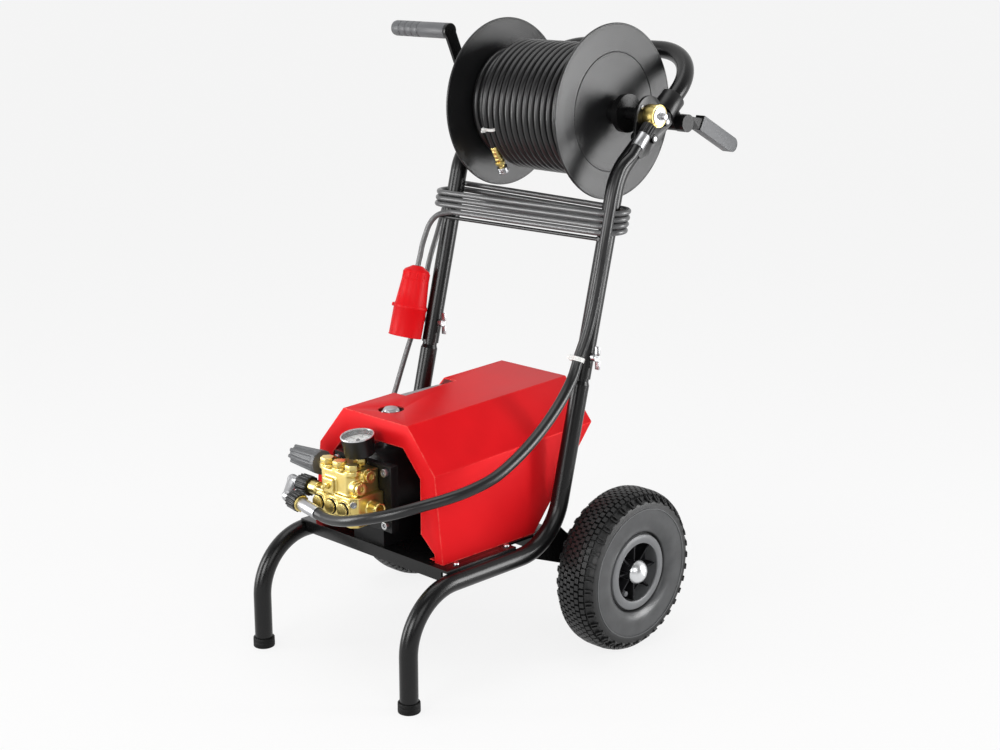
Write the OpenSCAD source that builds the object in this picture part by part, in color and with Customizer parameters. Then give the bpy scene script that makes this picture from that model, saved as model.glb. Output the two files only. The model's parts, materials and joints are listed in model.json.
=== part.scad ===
// Two-wheeled drain jetter: a bent-tube trolley with a hooded motor pump,
// a hose reel with a crank on the handle, and a mains lead wound round the uprights.
// Millimetres. +Z up, -Y the front with the pump, +X the side of the supply hose.
// Pieces are drawn about the trolley's own middle plane and wheel axle, then placed.

/* [Frame] */
// Outside diameter of the frame and handle tubes
tube_d = 28; // [26:0.5:28]
// Wall of the tubes
tube_wall = 2; // [1.5:0.1:2.5]
// Distance between the two side tubes, centre to centre
frame_w = 340; // [338:1:342]
// Height of the horizontal side tubes above the ground
side_z = 176; // [174:1:178]
// Bend radius of the lower frame tubes
frame_bend_r = 92; // [86:1:94]
// How far the feet stand in front of the wheel axle
foot_reach = 403; // [395:1:410]
// Backward lean of the uprights from the vertical
lean = 14; // [13.5:0.1:14.5]
// Height where the handle slides onto the lower frame
joint_z = 424; // [420:1:428]
// Rise of the upper handle from the horizontal
handle_rise = 39; // [38:0.5:40]
// Height of the bend between upright and handle
handle_bend_z = 742; // [738:1:744]
// Length of handle from that bend to the start of the hoop
handle_len = 180; // [176:1:184]
// Corner radius of the handle hoop
hoop_r = 95; // [80:1:100]

/* [Wheels] */
// Diameter of the tyre
wheel_d = 260; // [256:1:260]
// Width of the tyre
tyre_w = 74; // [68:1:76]
// Distance of each wheel's middle from the trolley's middle plane
wheel_x = 234; // [234:1:240]
// Diameter of the axle
axle_d = 20; // [18:1:20]

/* [Hood] */
// Length of the hood from front to back
hood_len = 348; // [340:1:350]
// Half width of its flat top
hood_top_half = 72; // [68:1:76]
// Half width at the fold in its sides
hood_fold_half = 130; // [126:1:132]
// Half width at its foot
hood_foot_half = 147; // [144:1:149]
// Thickness of the sheet
sheet_t = 2; // [1.5:0.1:2.5]
// Rise of the hood's top towards the back
hood_tilt = 2; // [1:0.5:2]

/* [Reel] */
// Diameter of the reel's flanges
flange_d = 274; // [268:1:274]
// Distance over the two flanges
reel_w = 236; // [232:1:236]
// Outside diameter of the jetting hose
jet_hose_d = 12; // [10:0.5:12]
// Turns in the outer layer of hose
hose_turns = 14; // [10:1:14]
// Distance from one turn to the next
hose_pitch = 12.6; // [12.5:0.1:12.8]
// Throw of the crank
crank_r = 124; // [110:1:124]

/* [Supply hose and lead] */
// Outside diameter of the supply hose
supply_d = 17; // [15:0.5:17]
// Outside diameter of the mains lead
lead_d = 9; // [8:0.5:9]
// Distance between the stacked loops of lead
lead_pitch = 9.6; // [9.6:0.1:10]

/* [Hidden] */
$fn = 48;

// The origin is under the middle of the trolley's outline, between grip and wheel, foot and lever
middle_shift = [26.5, 56, 0];

half_w = frame_w / 2;
tube_r = tube_d / 2;
run_gap = 0.05;
bolt_gap = 0.1;

// Uprights: height against distance from the wheel axle
upright_ref = [-16.5, 500];
function upright_y(z) = upright_ref[0] + tan(lean) * (z - upright_ref[1]);
function upright_at(z, x = 0) = [x, upright_y(z), z];

foot_y = -foot_reach;
foot_floor = 4;
corner_y = upright_y(side_z);
frame_turn = 90 - lean;
frame_tangent = frame_bend_r * tan(frame_turn / 2);
leg_len = side_z - frame_bend_r - foot_floor;
side_len = corner_y - frame_tangent - foot_y - frame_bend_r;
post_len = (joint_z - side_z) / cos(lean) - frame_tangent;
neck_len = 6;
neck_show = 4;
spigot_len = 75;
spigot_r = tube_r - tube_wall - 0.1;
spigot_bore = spigot_r - tube_wall;

handle_corner = upright_at(handle_bend_z);
handle_bend_r = 80;
handle_turn = 90 - lean - handle_rise;
handle_tangent = handle_bend_r * tan(handle_turn / 2);
handle_start_z = joint_z + (neck_len + neck_show) * cos(lean);
handle_post = (handle_bend_z - handle_start_z) / cos(lean) - handle_tangent;
handle_run = handle_len - handle_tangent;
// A point on the handle's straight run, measured from the bend's corner
function handle_at(t, x = 0) =
    handle_corner + [x, t * cos(handle_rise), t * sin(handle_rise)];

// Bolts and their places
joint_bolt_z = 468;
joint_bolt_r = 3;
plate_bolt_t = [80, 118];
plate_bolt_r = 4;

// Tray
tray_top = 194.2;
tray_t = 4;
tray_half = 168;
tray_lip_half = 155;
tray_rear_half = 150;
tray_lip_drop = 19;
tray_y = [-322, -118];
tray_step_y = -176;
tray_screw_x = 155;
tray_screw_y = [-291, -184];
tray_screw_r = 2.5;

// Axle and wheels
axle_z = wheel_d / 2;
axle_r = axle_d / 2;
axle_half = 268;
beam_half = 180;
beam_y = 16;
beam_z = [axle_z - 14, axle_z + 20];
gusset_t = 6;
gusset_outline = [[-150, 168], [-92, 214], [-78, 208]];
hub_half = 28;
rim_face = 32;
cap_base = 264;
cap_r = 19.5;
cap_rise = 13;

// Reel
reel_y = 95;
reel_z = 829;
reel_half = reel_w / 2;
flange_r = flange_d / 2;
flange_t = 3;
drum_r = 45;
jet_r = jet_hose_d / 2;
loop_rings = 24;
loop_sides = 6;
winding_r = 98.5;
winding_core_r = winding_r * cos(180 / loop_rings) - jet_r - 0.4;
winding_start_x = 108;
winding_end_angle = 32;
spindle_r = 10;
spindle_ends = [-204, 200];
collar_r = 19;
hub_disc_r = 30;
hub_disc_x = [138, 148];
plate_x = half_w + tube_r + 0.3;
plate_t = 5;
bush_r = 14;
crank_x = [-201, -195];
crank_tip = [-0.404, 0.915] * crank_r;
crank_pin_r = 6;
grip_r = 13;
grip_x = [-330, -202];

// Swivel on the reel's axis, with its port forward and down
swivel_x = [plate_x + plate_t + 0.2, 209];
swivel_r = 17.5;
swivel_mid = [swivel_x[1] - 7, reel_y, reel_z];
port_dir = [0, -cos(45), -sin(45)];
port_nut = [20.2, 38];
port_ferrule = [38.2, 62];

// Pump and motor on one axis
pump_x = -10;
pump_z = 284;
flange_face_y = -327;
crankcase_y = [-327, -212.5];
crankcase_r = 60;
crankcase_half = 64;
crankcase_z = [226, 330];
crankcase_bolt = [54, [237, 320]];
filler_r = 13;
filler_stem_r = 9;
motor_r = 76;
motor_wall = 4;
motor_y = [-200, -30];
motor_bearing_r = 20;
stator_y = [-178, -58];
stator_bore_r = 51;
shaft_r = 12;
shaft_y = [-262, 0];
plunger_r = 8;
plunger_ring = 24;
plunger_angles = [90, 210, 330];
plunger_y = [-350, -270];
valve_pitch = 28;
valve_x = [-valve_pitch, 0, valve_pitch];
valve_y = -372;

// Pump head: an upper block on a wider foot, with bosses for its plugs
head_top = 324;
head_waist_z = 290;
head_bottom = 243;
head_half = 37;
head_foot_half = 48;
head_front_y = -388;
head_step = 4;
head_corner = 9;
boss_rise = 3;
front_plug_z = 270;
front_plug_r = 10.5;
side_plug_r = 9.5;
side_plugs = [[-352, 317], [-371, 302]];

// Hood
hood_front_y = -309.5;
hood_rear_y = hood_front_y + hood_len;
hood_top_z = 394;
hood_fold_z = 328;
hood_slope_foot_y = -114;
hood_slope_top_z = 341;
filler_y = -267;
gland_y = -97;
gland_z = 290;
gland_seat_x = -138;
gland_boot = 22;
gland_reach = 32.1;
notch_y = [-205, -95];

// Unloader, gauge and outlet
unloader_yz = [-350, 314];
unloader_knob_x = [-141, -77];
unloader_stem_r = 6;
unloader_seat_r = 8;
gauge_at = [0, -340, 343];
gauge_tilt = 9;
gauge_r = 26;
gauge_h = 31;
gauge_wall = 2;
gauge_floor = 20;
gauge_stem_r = 5;
needle_r = 1.5;
inlet_yz = [-352, 270];
inlet_r = 11;
outlet_yz = [-376, 283];
outlet_x = -72;
outlet_r = 11;
elbow_r = 8;
elbow_in = [-118, -376, 283];
elbow_out = [-99, -402, 268];
outlet_dir = [0.985, -0.1, -0.08];
outlet_nut = [14, 36];
outlet_ferrule = [36.2, 82];
inner_nut_x = -96;
ferrule_r = 9.8;
nut_rib_r = 1.5;

// Brake lever
lever_t = 152;
lever_pivot = [185, 810];
lever_shaft_r = 6;
lever_x = [176.5, 194];

// Plug hanging from the lead
plug_top = [-190, -40, 562];
plug_foot = [-192, -70, 446];

// Route of the supply hose, from the pump's ferrule to the swivel's ferrule
supply_route = [[25, -416, 263], [60, -419, 271], [95, -412, 281], [130, -394, 292], [160, -365, 304],
    [182, -330, 313], [194, -292, 321], [199, -252, 331], [198, -210, 347], [195, -170, 366],
    [191, -132, 388], [187, -98, 413], [184, -70, 442], [183, -53, 475], [185, -40, 505],
    [186, -28, 540], [188, -19, 580], [191, -14, 615], [195, -11, 650], [197, -4, 690],
    [198, 4, 725], [199, 18, 756]];

// Route of the lead from its gland up to the loops, and from the loops down to the plug
drop_route = [[-196, -97, 294], [-208, -94, 307], [-212, -87, 325], [-212, -74, 353], [-211, -60, 388],
    [-209, -45, 426], [-206, -30, 463], [-204, -18, 500], [-203, -3, 560], [-204, 18, 607],
    [-206, 42, 659], [-201, 50, 675], [-188, 56, 687]];
tail_route = [[-152, -8.5, 652], [-164, -13.5, 649], [-174, -18, 641], [-181, -22.5, 629], [-185, -27, 613],
    [-188, -31.5, 596], [-189, -35.5, 579]];

// Unit vector, and the mean direction of a path at one of its points
function unit(v) = v / norm(v);
function heading(path, i) = unit(path[min(i + 1, len(path) - 1)] - path[max(i - 1, 0)]);

// Points of a smooth curve through a route, in a number of steps between each pair
function curve_point(a, b, c, d, t) =
    0.5 * (2 * b + (c - a) * t + (2 * a - 5 * b + 4 * c - d) * t * t + (3 * b - a - 3 * c + d) * t * t * t);
function smooth_path(route, steps) = concat(
    [for (i = [0:len(route) - 2], k = [0:steps - 1])
        curve_point(route[max(i - 1, 0)], route[i], route[i + 1],
            route[min(i + 2, len(route) - 1)], k / steps)],
    [route[len(route) - 1]]);

// Normals carried along a path without twisting
function path_normals(path) =
    [for (i = 0, n = unit(cross(heading(path, 0), [0.31, 0.12, 0.94])); i < len(path); i = i + 1,
        n = i < len(path) ? unit(n - (n * heading(path, i)) * heading(path, i)) : n) n];

// A round cord swept along a path as triangles, with flat ends
module cord(path, radius, sides) {
    normals = path_normals(path);
    last = len(path) - 1;
    points = [for (i = [0:last], k = [0:sides - 1])
        let (t = heading(path, i), n = normals[i], b = cross(t, n), a = 360 * k / sides)
            path[i] + radius * (cos(a) * n + sin(a) * b)];
    skin = [for (i = [0:last - 1], k = [0:sides - 1], half = [0, 1])
        let (p = i * sides + k, q = i * sides + (k + 1) % sides)
            half == 0 ? [p, p + sides, q] : [q, p + sides, q + sides]];
    first_cap = [for (k = [1:sides - 2]) [0, k, k + 1]];
    last_cap = [for (k = [1:sides - 2]) [last * sides, last * sides + k + 1, last * sides + k]];
    polyhedron(points = points, faces = concat(skin, first_cap, last_cap), convexity = 10);
}

// Least gap between stretches of one cord that are at least some rings apart
function least_gap(path, apart, d) =
    min([for (i = [0:len(path) - 1], j = [i + apart:1:len(path) - 1]) norm(path[i] - path[j])]) - d;

// Cylinders along an axis or a direction
module along_x(x0, x1, r) {
    translate([x0, 0, 0]) rotate([0, 90, 0]) cylinder(r = r, h = x1 - x0);
}
module along_y(y0, y1, r) {
    translate([0, y0, 0]) rotate([-90, 0, 0]) cylinder(r = r, h = y1 - y0);
}
module aim(from, dir) {
    translate(from) rotate([0, acos(dir[2] / norm(dir)), atan2(dir[1], dir[0])]) children();
}
// An outline in the side view, given as distance back and height, thickened across
module side_plate(x0, x1) {
    translate([x0, 0, 0]) rotate([90, 0, 90]) linear_extrude(x1 - x0) children();
}
// A shape drawn up its own Z axis, laid along X or along Y
module lay_x() {
    rotate([0, 90, 0]) children();
}
module lay_y() {
    rotate([-90, 0, 0]) children();
}
module both_sides() {
    children();
    mirror([1, 0, 0]) children();
}
// A ribbed nut or knob, standing up Z
module ribbed(r, h, ribs, rib_r) {
    linear_extrude(h) {
        circle(r = r);
        for (i = [0:ribs - 1]) rotate(360 * i / ribs) translate([r, 0]) circle(r = rib_r, $fn = 16);
    }
}

// Bent tube: steps of straight length, roll, bend angle and bend radius
module tube_ring() {
    difference() {
        circle(d = tube_d);
        circle(d = tube_d - 2 * tube_wall);
    }
}
module tube_bend(angle, radius) {
    translate([0, radius, 0]) rotate([90, 0, -90])
        rotate_extrude(angle = angle) translate([radius, 0]) tube_ring();
}
module tube_run(steps, i = 0) {
    if (i < len(steps)) {
        step = steps[i];
        if (step[0] > 0) linear_extrude(step[0]) tube_ring();
        translate([0, 0, step[0]]) rotate([0, 0, step[1]]) {
            if (step[2] > 0) {
                tube_bend(step[2], step[3]);
                translate([0, step[3] * (1 - cos(step[2])), step[3] * sin(step[2])])
                    rotate([-step[2], 0, 0]) tube_run(steps, i + 1) children();
            } else {
                tube_run(steps, i + 1) children();
            }
        }
    } else {
        children();
    }
}

// Frame
module lower_tube() {
    gusset_x = half_w - tube_r + tube_wall;
    difference() {
        translate([half_w, foot_y, foot_floor])
            tube_run([[leg_len, 0, 90, frame_bend_r], [side_len, 180, frame_turn, frame_bend_r],
                [post_len, 0, 0, 0]])
                rotate_extrude() polygon([[spigot_bore, 0], [tube_r, 0], [spigot_r, neck_len],
                    [spigot_r, spigot_len], [spigot_bore, spigot_len]]);
        translate(upright_at(joint_bolt_z, half_w - 30)) along_x(0, 60, joint_bolt_r + bolt_gap);
    }
    side_plate(gusset_x - gusset_t, gusset_x)
        polygon(concat(gusset_outline, [[-beam_y - 0.2, beam_z[1]], [-beam_y - 0.2, beam_z[0]]]));
}
module frame_tube_right() {
    color("#191919") lower_tube();
}
module frame_tube_left() {
    color("#191919") mirror([1, 0, 0]) lower_tube();
}
module handle_half() {
    difference() {
        translate(upright_at(handle_start_z, half_w)) rotate([-lean, 0, 0])
            tube_run([[handle_post, 0, handle_turn, handle_bend_r], [handle_run, 90, 90, hoop_r],
                [half_w - hoop_r, 0, 0, 0]]);
        translate(upright_at(joint_bolt_z, half_w - 30)) along_x(0, 60, joint_bolt_r + bolt_gap);
        for (t = plate_bolt_t)
            translate(handle_at(t, half_w - 30)) along_x(0, 60, plate_bolt_r + bolt_gap);
    }
}
module handle_tube() {
    color("#1b1b1b") both_sides() handle_half();
}
module foot_caps() {
    cap_r = tube_r + 3;
    cap_h = 28;
    edge = 2;
    color("#141414") both_sides() translate([half_w, foot_y, 0]) rotate_extrude()
        polygon([[0, 0], [cap_r - edge / 2, 0], [cap_r, edge], [cap_r - 0.6, cap_h - edge],
            [tube_r + run_gap, cap_h], [tube_r + run_gap, foot_floor - run_gap], [0, foot_floor - run_gap]]);
}
module tray() {
    color("#202124") difference() {
        union() {
            translate([-tray_half, tray_y[0], tray_top - tray_t])
                cube([2 * tray_half, tray_step_y - tray_y[0], tray_t]);
            translate([-tray_rear_half, tray_y[0], tray_top - tray_t])
                cube([2 * tray_rear_half, tray_y[1] - tray_y[0], tray_t]);
            translate([-tray_lip_half, tray_y[0], tray_top - tray_lip_drop])
                cube([2 * tray_lip_half, tray_t, tray_lip_drop]);
            translate([-tray_rear_half, tray_y[1] - tray_t, tray_top - tray_lip_drop])
                cube([2 * tray_rear_half, tray_t, tray_lip_drop]);
        }
        for (x = [-tray_screw_x, tray_screw_x], y = tray_screw_y)
            translate([x, y, tray_top - tray_t - 1]) cylinder(r = tray_screw_r + bolt_gap, h = tray_t + 2);
    }
}
module joint_bolt(x) {
    head = [5.5, 4];
    nut = [6, 10];
    seat = tube_r + 0.3;
    wing = [8, 3, 14];
    wing_from = 4;
    translate(upright_at(joint_bolt_z, x)) {
        along_x(-seat - head[1], -seat, head[0]);
        along_x(-seat, tube_r + nut[1], joint_bolt_r);
        along_x(seat, tube_r + nut[1], nut[0]);
        for (z = [wing_from, -wing_from - wing.z])
            translate([tube_r + nut[1] - wing.y, -wing.y / 2, z]) cube(wing);
    }
}
module plate_bolt(t) {
    head = [7, 4];
    nut_h = 7;
    seat = plate_x + plate_t;
    inside = half_w - tube_r;
    translate(handle_at(t)) {
        along_x(seat + 0.2, seat + head[1], head[0]);
        along_x(inside - nut_h, seat + 1, plate_bolt_r);
        along_x(inside - nut_h, inside - 0.3, head[0]);
    }
}
module socket_bolt(p) {
    head = [6, 7];
    socket = [3.4, 4];
    translate(p) difference() {
        along_y(-head[1], -0.2, head[0]);
        translate([0, -head[1] - 0.5, 0]) lay_y() cylinder(r = socket[0], h = socket[1], $fn = 6);
    }
}
module fasteners() {
    screw_head = [5, 4, 2.6];
    color("#b9bcbe") {
        joint_bolt(half_w);
        joint_bolt(-half_w);
        both_sides() for (t = plate_bolt_t) plate_bolt(t);
        for (x = [-tray_screw_x, tray_screw_x], y = tray_screw_y) translate([x, y, tray_top - tray_t]) {
            cylinder(r = tray_screw_r, h = tray_t + 1);
            translate([0, 0, tray_t + 0.2])
                cylinder(r1 = screw_head[0], r2 = screw_head[1], h = screw_head[2]);
        }
        for (x = [-crankcase_bolt[0], crankcase_bolt[0]], z = crankcase_bolt[1])
            socket_bolt([pump_x + x, flange_face_y, z]);
    }
}
module axle_beam() {
    wall = 4;
    end_wall = 6;
    size = [2 * beam_half, 2 * beam_y, beam_z[1] - beam_z[0]];
    color("#1a1a1a") translate([-beam_half, -beam_y, beam_z[0]]) difference() {
        cube(size);
        translate([end_wall, wall, -1]) cube([size.x - 2 * end_wall, size.y - 2 * wall, size.z - wall + 1]);
        translate([0, beam_y, axle_z - beam_z[0]]) along_x(-1, size.x + 1, axle_r + run_gap);
    }
}
module axle() {
    spacer_r = axle_r + 5;
    color("#a8abad") translate([0, 0, axle_z]) {
        along_x(-axle_half, axle_half, axle_r);
        both_sides() along_x(beam_half + 0.2, wheel_x - hub_half - 0.5, spacer_r);
    }
}
module axle_caps() {
    ball_r = (cap_r * cap_r + cap_rise * cap_rise) / (2 * cap_rise);
    color("#d9dbdc") both_sides() translate([cap_base, 0, axle_z]) difference() {
        intersection() {
            translate([cap_rise - ball_r, 0, 0]) rotate([0, 90, 0]) sphere(r = ball_r, $fn = 64);
            along_x(0, cap_rise + 1, cap_r + 1);
        }
        along_x(-1, axle_half - cap_base + 0.3, axle_r + run_gap);
    }
}
// A rod under the lowest front strand of the lead, on a short peg from each upright
module cable_rest() {
    rod_r = 3;
    overhang = 5;
    under = [0, 0, lead_d / 2 + rod_r + 2.2];
    peg_back = tube_r / cos(lean) + rod_r * tan(lean) + 0.1;
    left = hank_point(hank_stop) - under;
    right = hank_point(hank_loops - 1 + run_share + bend_share) - under;
    function rod_at(x) = left + (right - left) * (x - left[0]) / (right[0] - left[0]);
    from = rod_at(-half_w - overhang);
    to = rod_at(half_w + overhang);
    color("#1c1c1c") {
        aim(from, to - from) cylinder(r = rod_r, h = norm(to - from));
        for (p = [rod_at(-half_w), rod_at(half_w)])
            translate(p) along_y(0, upright_y(p[2]) - p[1] - peg_back, rod_r);
    }
}

// Reel carriers and swivel
module bearing_plates() {
    eye_r = 30;
    foot = [[65, 830], [60, 780], [76, 764], [94, 768], [150, 812], [146, 828], [124, 836]];
    color("#161616") both_sides() difference() {
        side_plate(plate_x, plate_x + plate_t) {
            translate([reel_y, reel_z]) circle(r = eye_r);
            polygon(foot);
        }
        translate([plate_x - 1, reel_y, reel_z]) along_x(0, plate_t + 2, bush_r + run_gap);
        for (t = plate_bolt_t)
            translate(handle_at(t, plate_x - 1)) along_x(0, plate_t + 2, plate_bolt_r + bolt_gap);
    }
}
module spindle_bushes() {
    head = [bush_r + 4, 3.5];
    stand_in = 4;
    color("#c2a14d") both_sides() translate([plate_x - stand_in, reel_y, reel_z]) difference() {
        union() {
            along_x(0, plate_t + stand_in, bush_r);
            along_x(0, head[1], head[0]);
        }
        along_x(-1, plate_t + stand_in + 2, spindle_r + run_gap);
    }
}
module swivel_body() {
    nose = [6, 4];
    port_r = 8;
    color("#c9a23a") difference() {
        union() {
            translate([0, reel_y, reel_z]) {
                along_x(swivel_x[0], swivel_x[1], swivel_r);
                along_x(swivel_x[1], swivel_x[1] + nose[1], nose[0]);
            }
            aim(swivel_mid, port_dir) cylinder(r = port_r, h = port_nut[0] - 0.2);
        }
        translate([0, reel_y, reel_z]) along_x(swivel_x[0] - 1, spindle_ends[1] + 1, spindle_r + run_gap);
    }
}
module coupling_nuts() {
    port = [10, 14];
    outer = [13, 16];
    inner = [14, 16];
    color("#17181a") {
        aim(swivel_mid, port_dir) translate([0, 0, port_nut[0]])
            ribbed(port[0], port_nut[1] - port_nut[0], port[1], nut_rib_r);
        aim(elbow_out, outlet_dir) translate([0, 0, outlet_nut[0]])
            ribbed(outer[0], outlet_nut[1] - outlet_nut[0], outer[1], nut_rib_r);
        translate([inner_nut_x, outlet_yz[0], outlet_yz[1]]) lay_x()
            ribbed(inner[0], outlet_x - inner_nut_x - 0.2, inner[1], nut_rib_r);
    }
}
module hose_fittings() {
    knuckle_r = elbow_r + 1;
    color("#b6b9ba") {
        aim(swivel_mid, port_dir) translate([0, 0, port_ferrule[0]])
            cylinder(r = ferrule_r, h = port_ferrule[1] - port_ferrule[0]);
        aim(elbow_out, outlet_dir) translate([0, 0, outlet_ferrule[0]])
            cylinder(r = ferrule_r, h = outlet_ferrule[1] - outlet_ferrule[0]);
        translate(elbow_in) along_x(0, inner_nut_x - elbow_in.x - 0.2, elbow_r);
        aim(elbow_in, elbow_out - elbow_in) sphere(r = knuckle_r);
        aim(elbow_in, elbow_out - elbow_in) cylinder(r = elbow_r, h = norm(elbow_out - elbow_in));
        aim(elbow_out, outlet_dir) sphere(r = knuckle_r);
        aim(elbow_out, outlet_dir) cylinder(r = elbow_r, h = outlet_nut[0] - 0.2);
    }
}
// The hose's ends run straight out of its two ferrules
function supply_path() = let (
    out = unit(outlet_dir),
    start = elbow_out + out * (outlet_ferrule[1] + 0.1),
    stop = swivel_mid + port_dir * (port_ferrule[1] + 0.1))
    concat([start], smooth_path(concat([start + out * supply_d], supply_route,
        [stop + port_dir * supply_d]), 2), [stop]);
module supply_hose() {
    color("#1d1e20") cord(supply_path(), supply_d / 2, 12);
}

// Hood and switch
hood_skirt_z = 180;
hood_opening_foot = [[130, hood_skirt_z], [128, 207], [99, 232], [99, 318], [62, 358]];
hood_cut = 400;
filler_hole_r = 20;
notch_from = [-130, 350];
notch_w = 85;
gland_hole_r = 8.2;
function flipped(points) = [for (i = [len(points) - 1:-1:0]) [-points[i].x, points[i].y]];
function hood_outline(inset) = let (
    foot = hood_foot_half + 1 - inset,
    fold = hood_fold_half - 1.15 * inset,
    top = hood_top_half - 0.6 * inset)
    [[-foot, hood_skirt_z], [-fold, hood_fold_z - 0.4 * inset], [-top, hood_top_z - inset],
        [top, hood_top_z - inset], [fold, hood_fold_z - 0.4 * inset], [foot, hood_skirt_z]];
module hood_prism(inset) {
    lead_in = 20;
    translate([0, hood_front_y, tray_top]) rotate([hood_tilt, 0, 0])
        translate([0, hood_len + lead_in, -tray_top]) rotate([90, 0, 0])
            linear_extrude(hood_len + 2 * lead_in) polygon(hood_outline(inset));
}
module hood_opening() {
    translate([0, hood_front_y + sheet_t + 1, 0]) rotate([90, 0, 0]) linear_extrude(sheet_t + 2)
        polygon(concat(hood_opening_foot, flipped(hood_opening_foot)));
}
module hood() {
    half_cut = hood_cut / 2;
    color("#e01e24") difference() {
        intersection() {
            hood_prism(0);
            translate([-half_cut, hood_front_y, tray_top + 0.2]) cube([hood_cut, hood_len, hood_cut]);
        }
        intersection() {
            hood_prism(sheet_t);
            translate([-half_cut, hood_front_y + sheet_t, 0]) cube([hood_cut, hood_len, 2 * hood_cut]);
        }
        hood_opening();
        side_plate(-half_cut, half_cut)
            polygon([[hood_slope_foot_y, tray_top], [hood_rear_y, hood_slope_top_z],
                [hood_rear_y + 1, hood_skirt_z], [hood_slope_foot_y, hood_skirt_z]]);
        translate([pump_x, filler_y, head_top]) cylinder(r = filler_hole_r, h = hood_cut);
        translate([notch_from[0], notch_y[0], notch_from[1]])
            cube([notch_w, notch_y[1] - notch_y[0], hood_cut]);
        translate([-half_cut, gland_y, gland_z]) along_x(0, half_cut, gland_hole_r);
    }
}
// Outline of the switch box, and the axis and parts of its knob
switch_gap = 4;
switch_outline = [[-104, 352], [-90, 341], [-72, 341], [-50, 372], [-50, 391], [-76, 391], [-104, 366]];
switch_face_x = -104;
switch_knob_z = 360;
switch_knob_y = notch_y[0] + 55;
switch_stem_r = 4;
switch_stem_end_x = -94;
module switch_box() {
    depth = notch_y[1] - notch_y[0] - 2 * switch_gap;
    color("#a6a8aa") difference() {
        translate([0, notch_y[1] - switch_gap, 0]) rotate([90, 0, 0]) linear_extrude(depth)
            polygon(switch_outline);
        translate([0, switch_knob_y, switch_knob_z])
            along_x(switch_face_x - 1, switch_stem_end_x + 1, switch_stem_r + run_gap);
    }
}
module switch_knob() {
    hub_x = [-116, switch_face_x - 0.5];
    hub_r = 6.5;
    bar_x = -124;
    bar = [10, 16, 6];
    color("#1a1a1c") translate([0, switch_knob_y, switch_knob_z]) {
        along_x(hub_x[0], hub_x[1], hub_r);
        along_x(hub_x[1] - 0.5, switch_stem_end_x, switch_stem_r);
        translate([bar_x, -bar.y / 2, -bar.z / 2]) cube(bar);
    }
}
module cable_gland() {
    hex = [11, 10];
    nut = [11, 5];
    thread = [8, 18];
    boot_h = gland_boot;
    color("#222326") translate([gland_seat_x, gland_y, gland_z]) {
        along_x(-1, thread[1], thread[0]);
        translate([-hex[1], 0, 0]) lay_x() cylinder(r = hex[0], h = hex[1], $fn = 6);
        translate([thread[1] - nut[1] - 2, 0, 0]) lay_x() cylinder(r = nut[0], h = nut[1], $fn = 6);
        translate([-hex[1] - boot_h, 0, 0]) lay_x()
            cylinder(r1 = lead_d / 2 + 1, r2 = thread[0], h = boot_h);
    }
}

// Motor, drawn along Y on the pump's axis
module on_axis() {
    translate([pump_x, 0, pump_z]) children();
}
module motor_housing() {
    fins = 30;
    fin = [6, 2.4];
    foot = [20, 68, 52];
    foot_y = motor_y[0] + 10;
    color("#2b2d30") on_axis() {
        translate([0, motor_y[0], 0]) lay_y() linear_extrude(motor_y[1] - motor_y[0]) difference() {
            union() {
                circle(r = motor_r);
                for (i = [0:fins - 1]) rotate(360 * i / fins)
                    translate([motor_r - 1, -fin.y / 2]) square(fin);
            }
            circle(r = motor_r - motor_wall);
        }
        for (x = [-62, 62 - foot.x]) difference() {
            translate([x, foot_y, tray_top + 0.2 - pump_z]) cube(foot);
            along_y(foot_y - 1, foot_y + foot.y + 1, motor_r - 1);
        }
    }
}
module motor_shields() {
    front = [84, 12];
    rear_t = 10;
    color("#33363a") on_axis() difference() {
        union() {
            along_y(motor_y[0] - front[1], motor_y[0] - 0.2, front[0]);
            along_y(motor_y[1] + 0.2, motor_y[1] + rear_t, motor_r);
        }
        along_y(motor_y[0] - front[1] - 1, motor_y[1] + rear_t + 1, motor_bearing_r + run_gap);
    }
}
module motor_bearings() {
    front = [11, 1];
    rear = [1, 9];
    color("#c3c6c8") on_axis() difference() {
        union() {
            along_y(motor_y[0] - front[0], motor_y[0] - front[1], motor_bearing_r);
            along_y(motor_y[1] + rear[0], motor_y[1] + rear[1], motor_bearing_r);
        }
        along_y(motor_y[0] - front[0] - 1, motor_y[1] + rear[1] + 1, shaft_r + run_gap);
    }
}
module stator() {
    color("#8a5a32") on_axis() difference() {
        along_y(stator_y[0], stator_y[1], motor_r - motor_wall - 0.2);
        along_y(stator_y[0] - 1, stator_y[1] + 1, stator_bore_r);
    }
}
module rotor_shaft() {
    inset = 6;
    color("#9a9da0") on_axis() {
        along_y(shaft_y[0], shaft_y[1], shaft_r);
        along_y(stator_y[0] + inset, stator_y[1] - inset, stator_bore_r - 1);
    }
}
module fan() {
    disc = [66, 3];
    hub = [20, 14];
    back_y = -16;
    blade = [50, hub[1] - 1, 3];
    color("#3a3c40") on_axis() difference() {
        union() {
            along_y(back_y, back_y + disc[1], disc[0]);
            along_y(back_y, back_y + hub[1], hub[0]);
            for (a = [0:45:315]) rotate([0, a, 0])
                translate([hub[0] - 5, back_y + 1, -blade.z / 2]) cube(blade);
        }
        along_y(back_y - 1, shaft_y[1] + 1, shaft_r + run_gap);
    }
}
module fan_cowl() {
    slots = 12;
    slot = [16, 6, 5];
    slot_from = 28;
    ring_step = 22;
    wall = 2;
    cowl_r = 79;
    cowl_y = [motor_y[1] + 10.2, 16];
    color("#232528") on_axis() difference() {
        along_y(cowl_y[0], cowl_y[1], cowl_r);
        along_y(cowl_y[0] - 1, cowl_y[1] - wall, cowl_r - wall);
        for (i = [0:slots - 1], ring = [0, 1]) rotate([0, 360 * (i + ring / 2) / slots, 0])
            translate([slot_from + ring_step * ring, cowl_y[1] - 2 * wall, -slot.z / 2]) cube(slot);
    }
}

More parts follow.
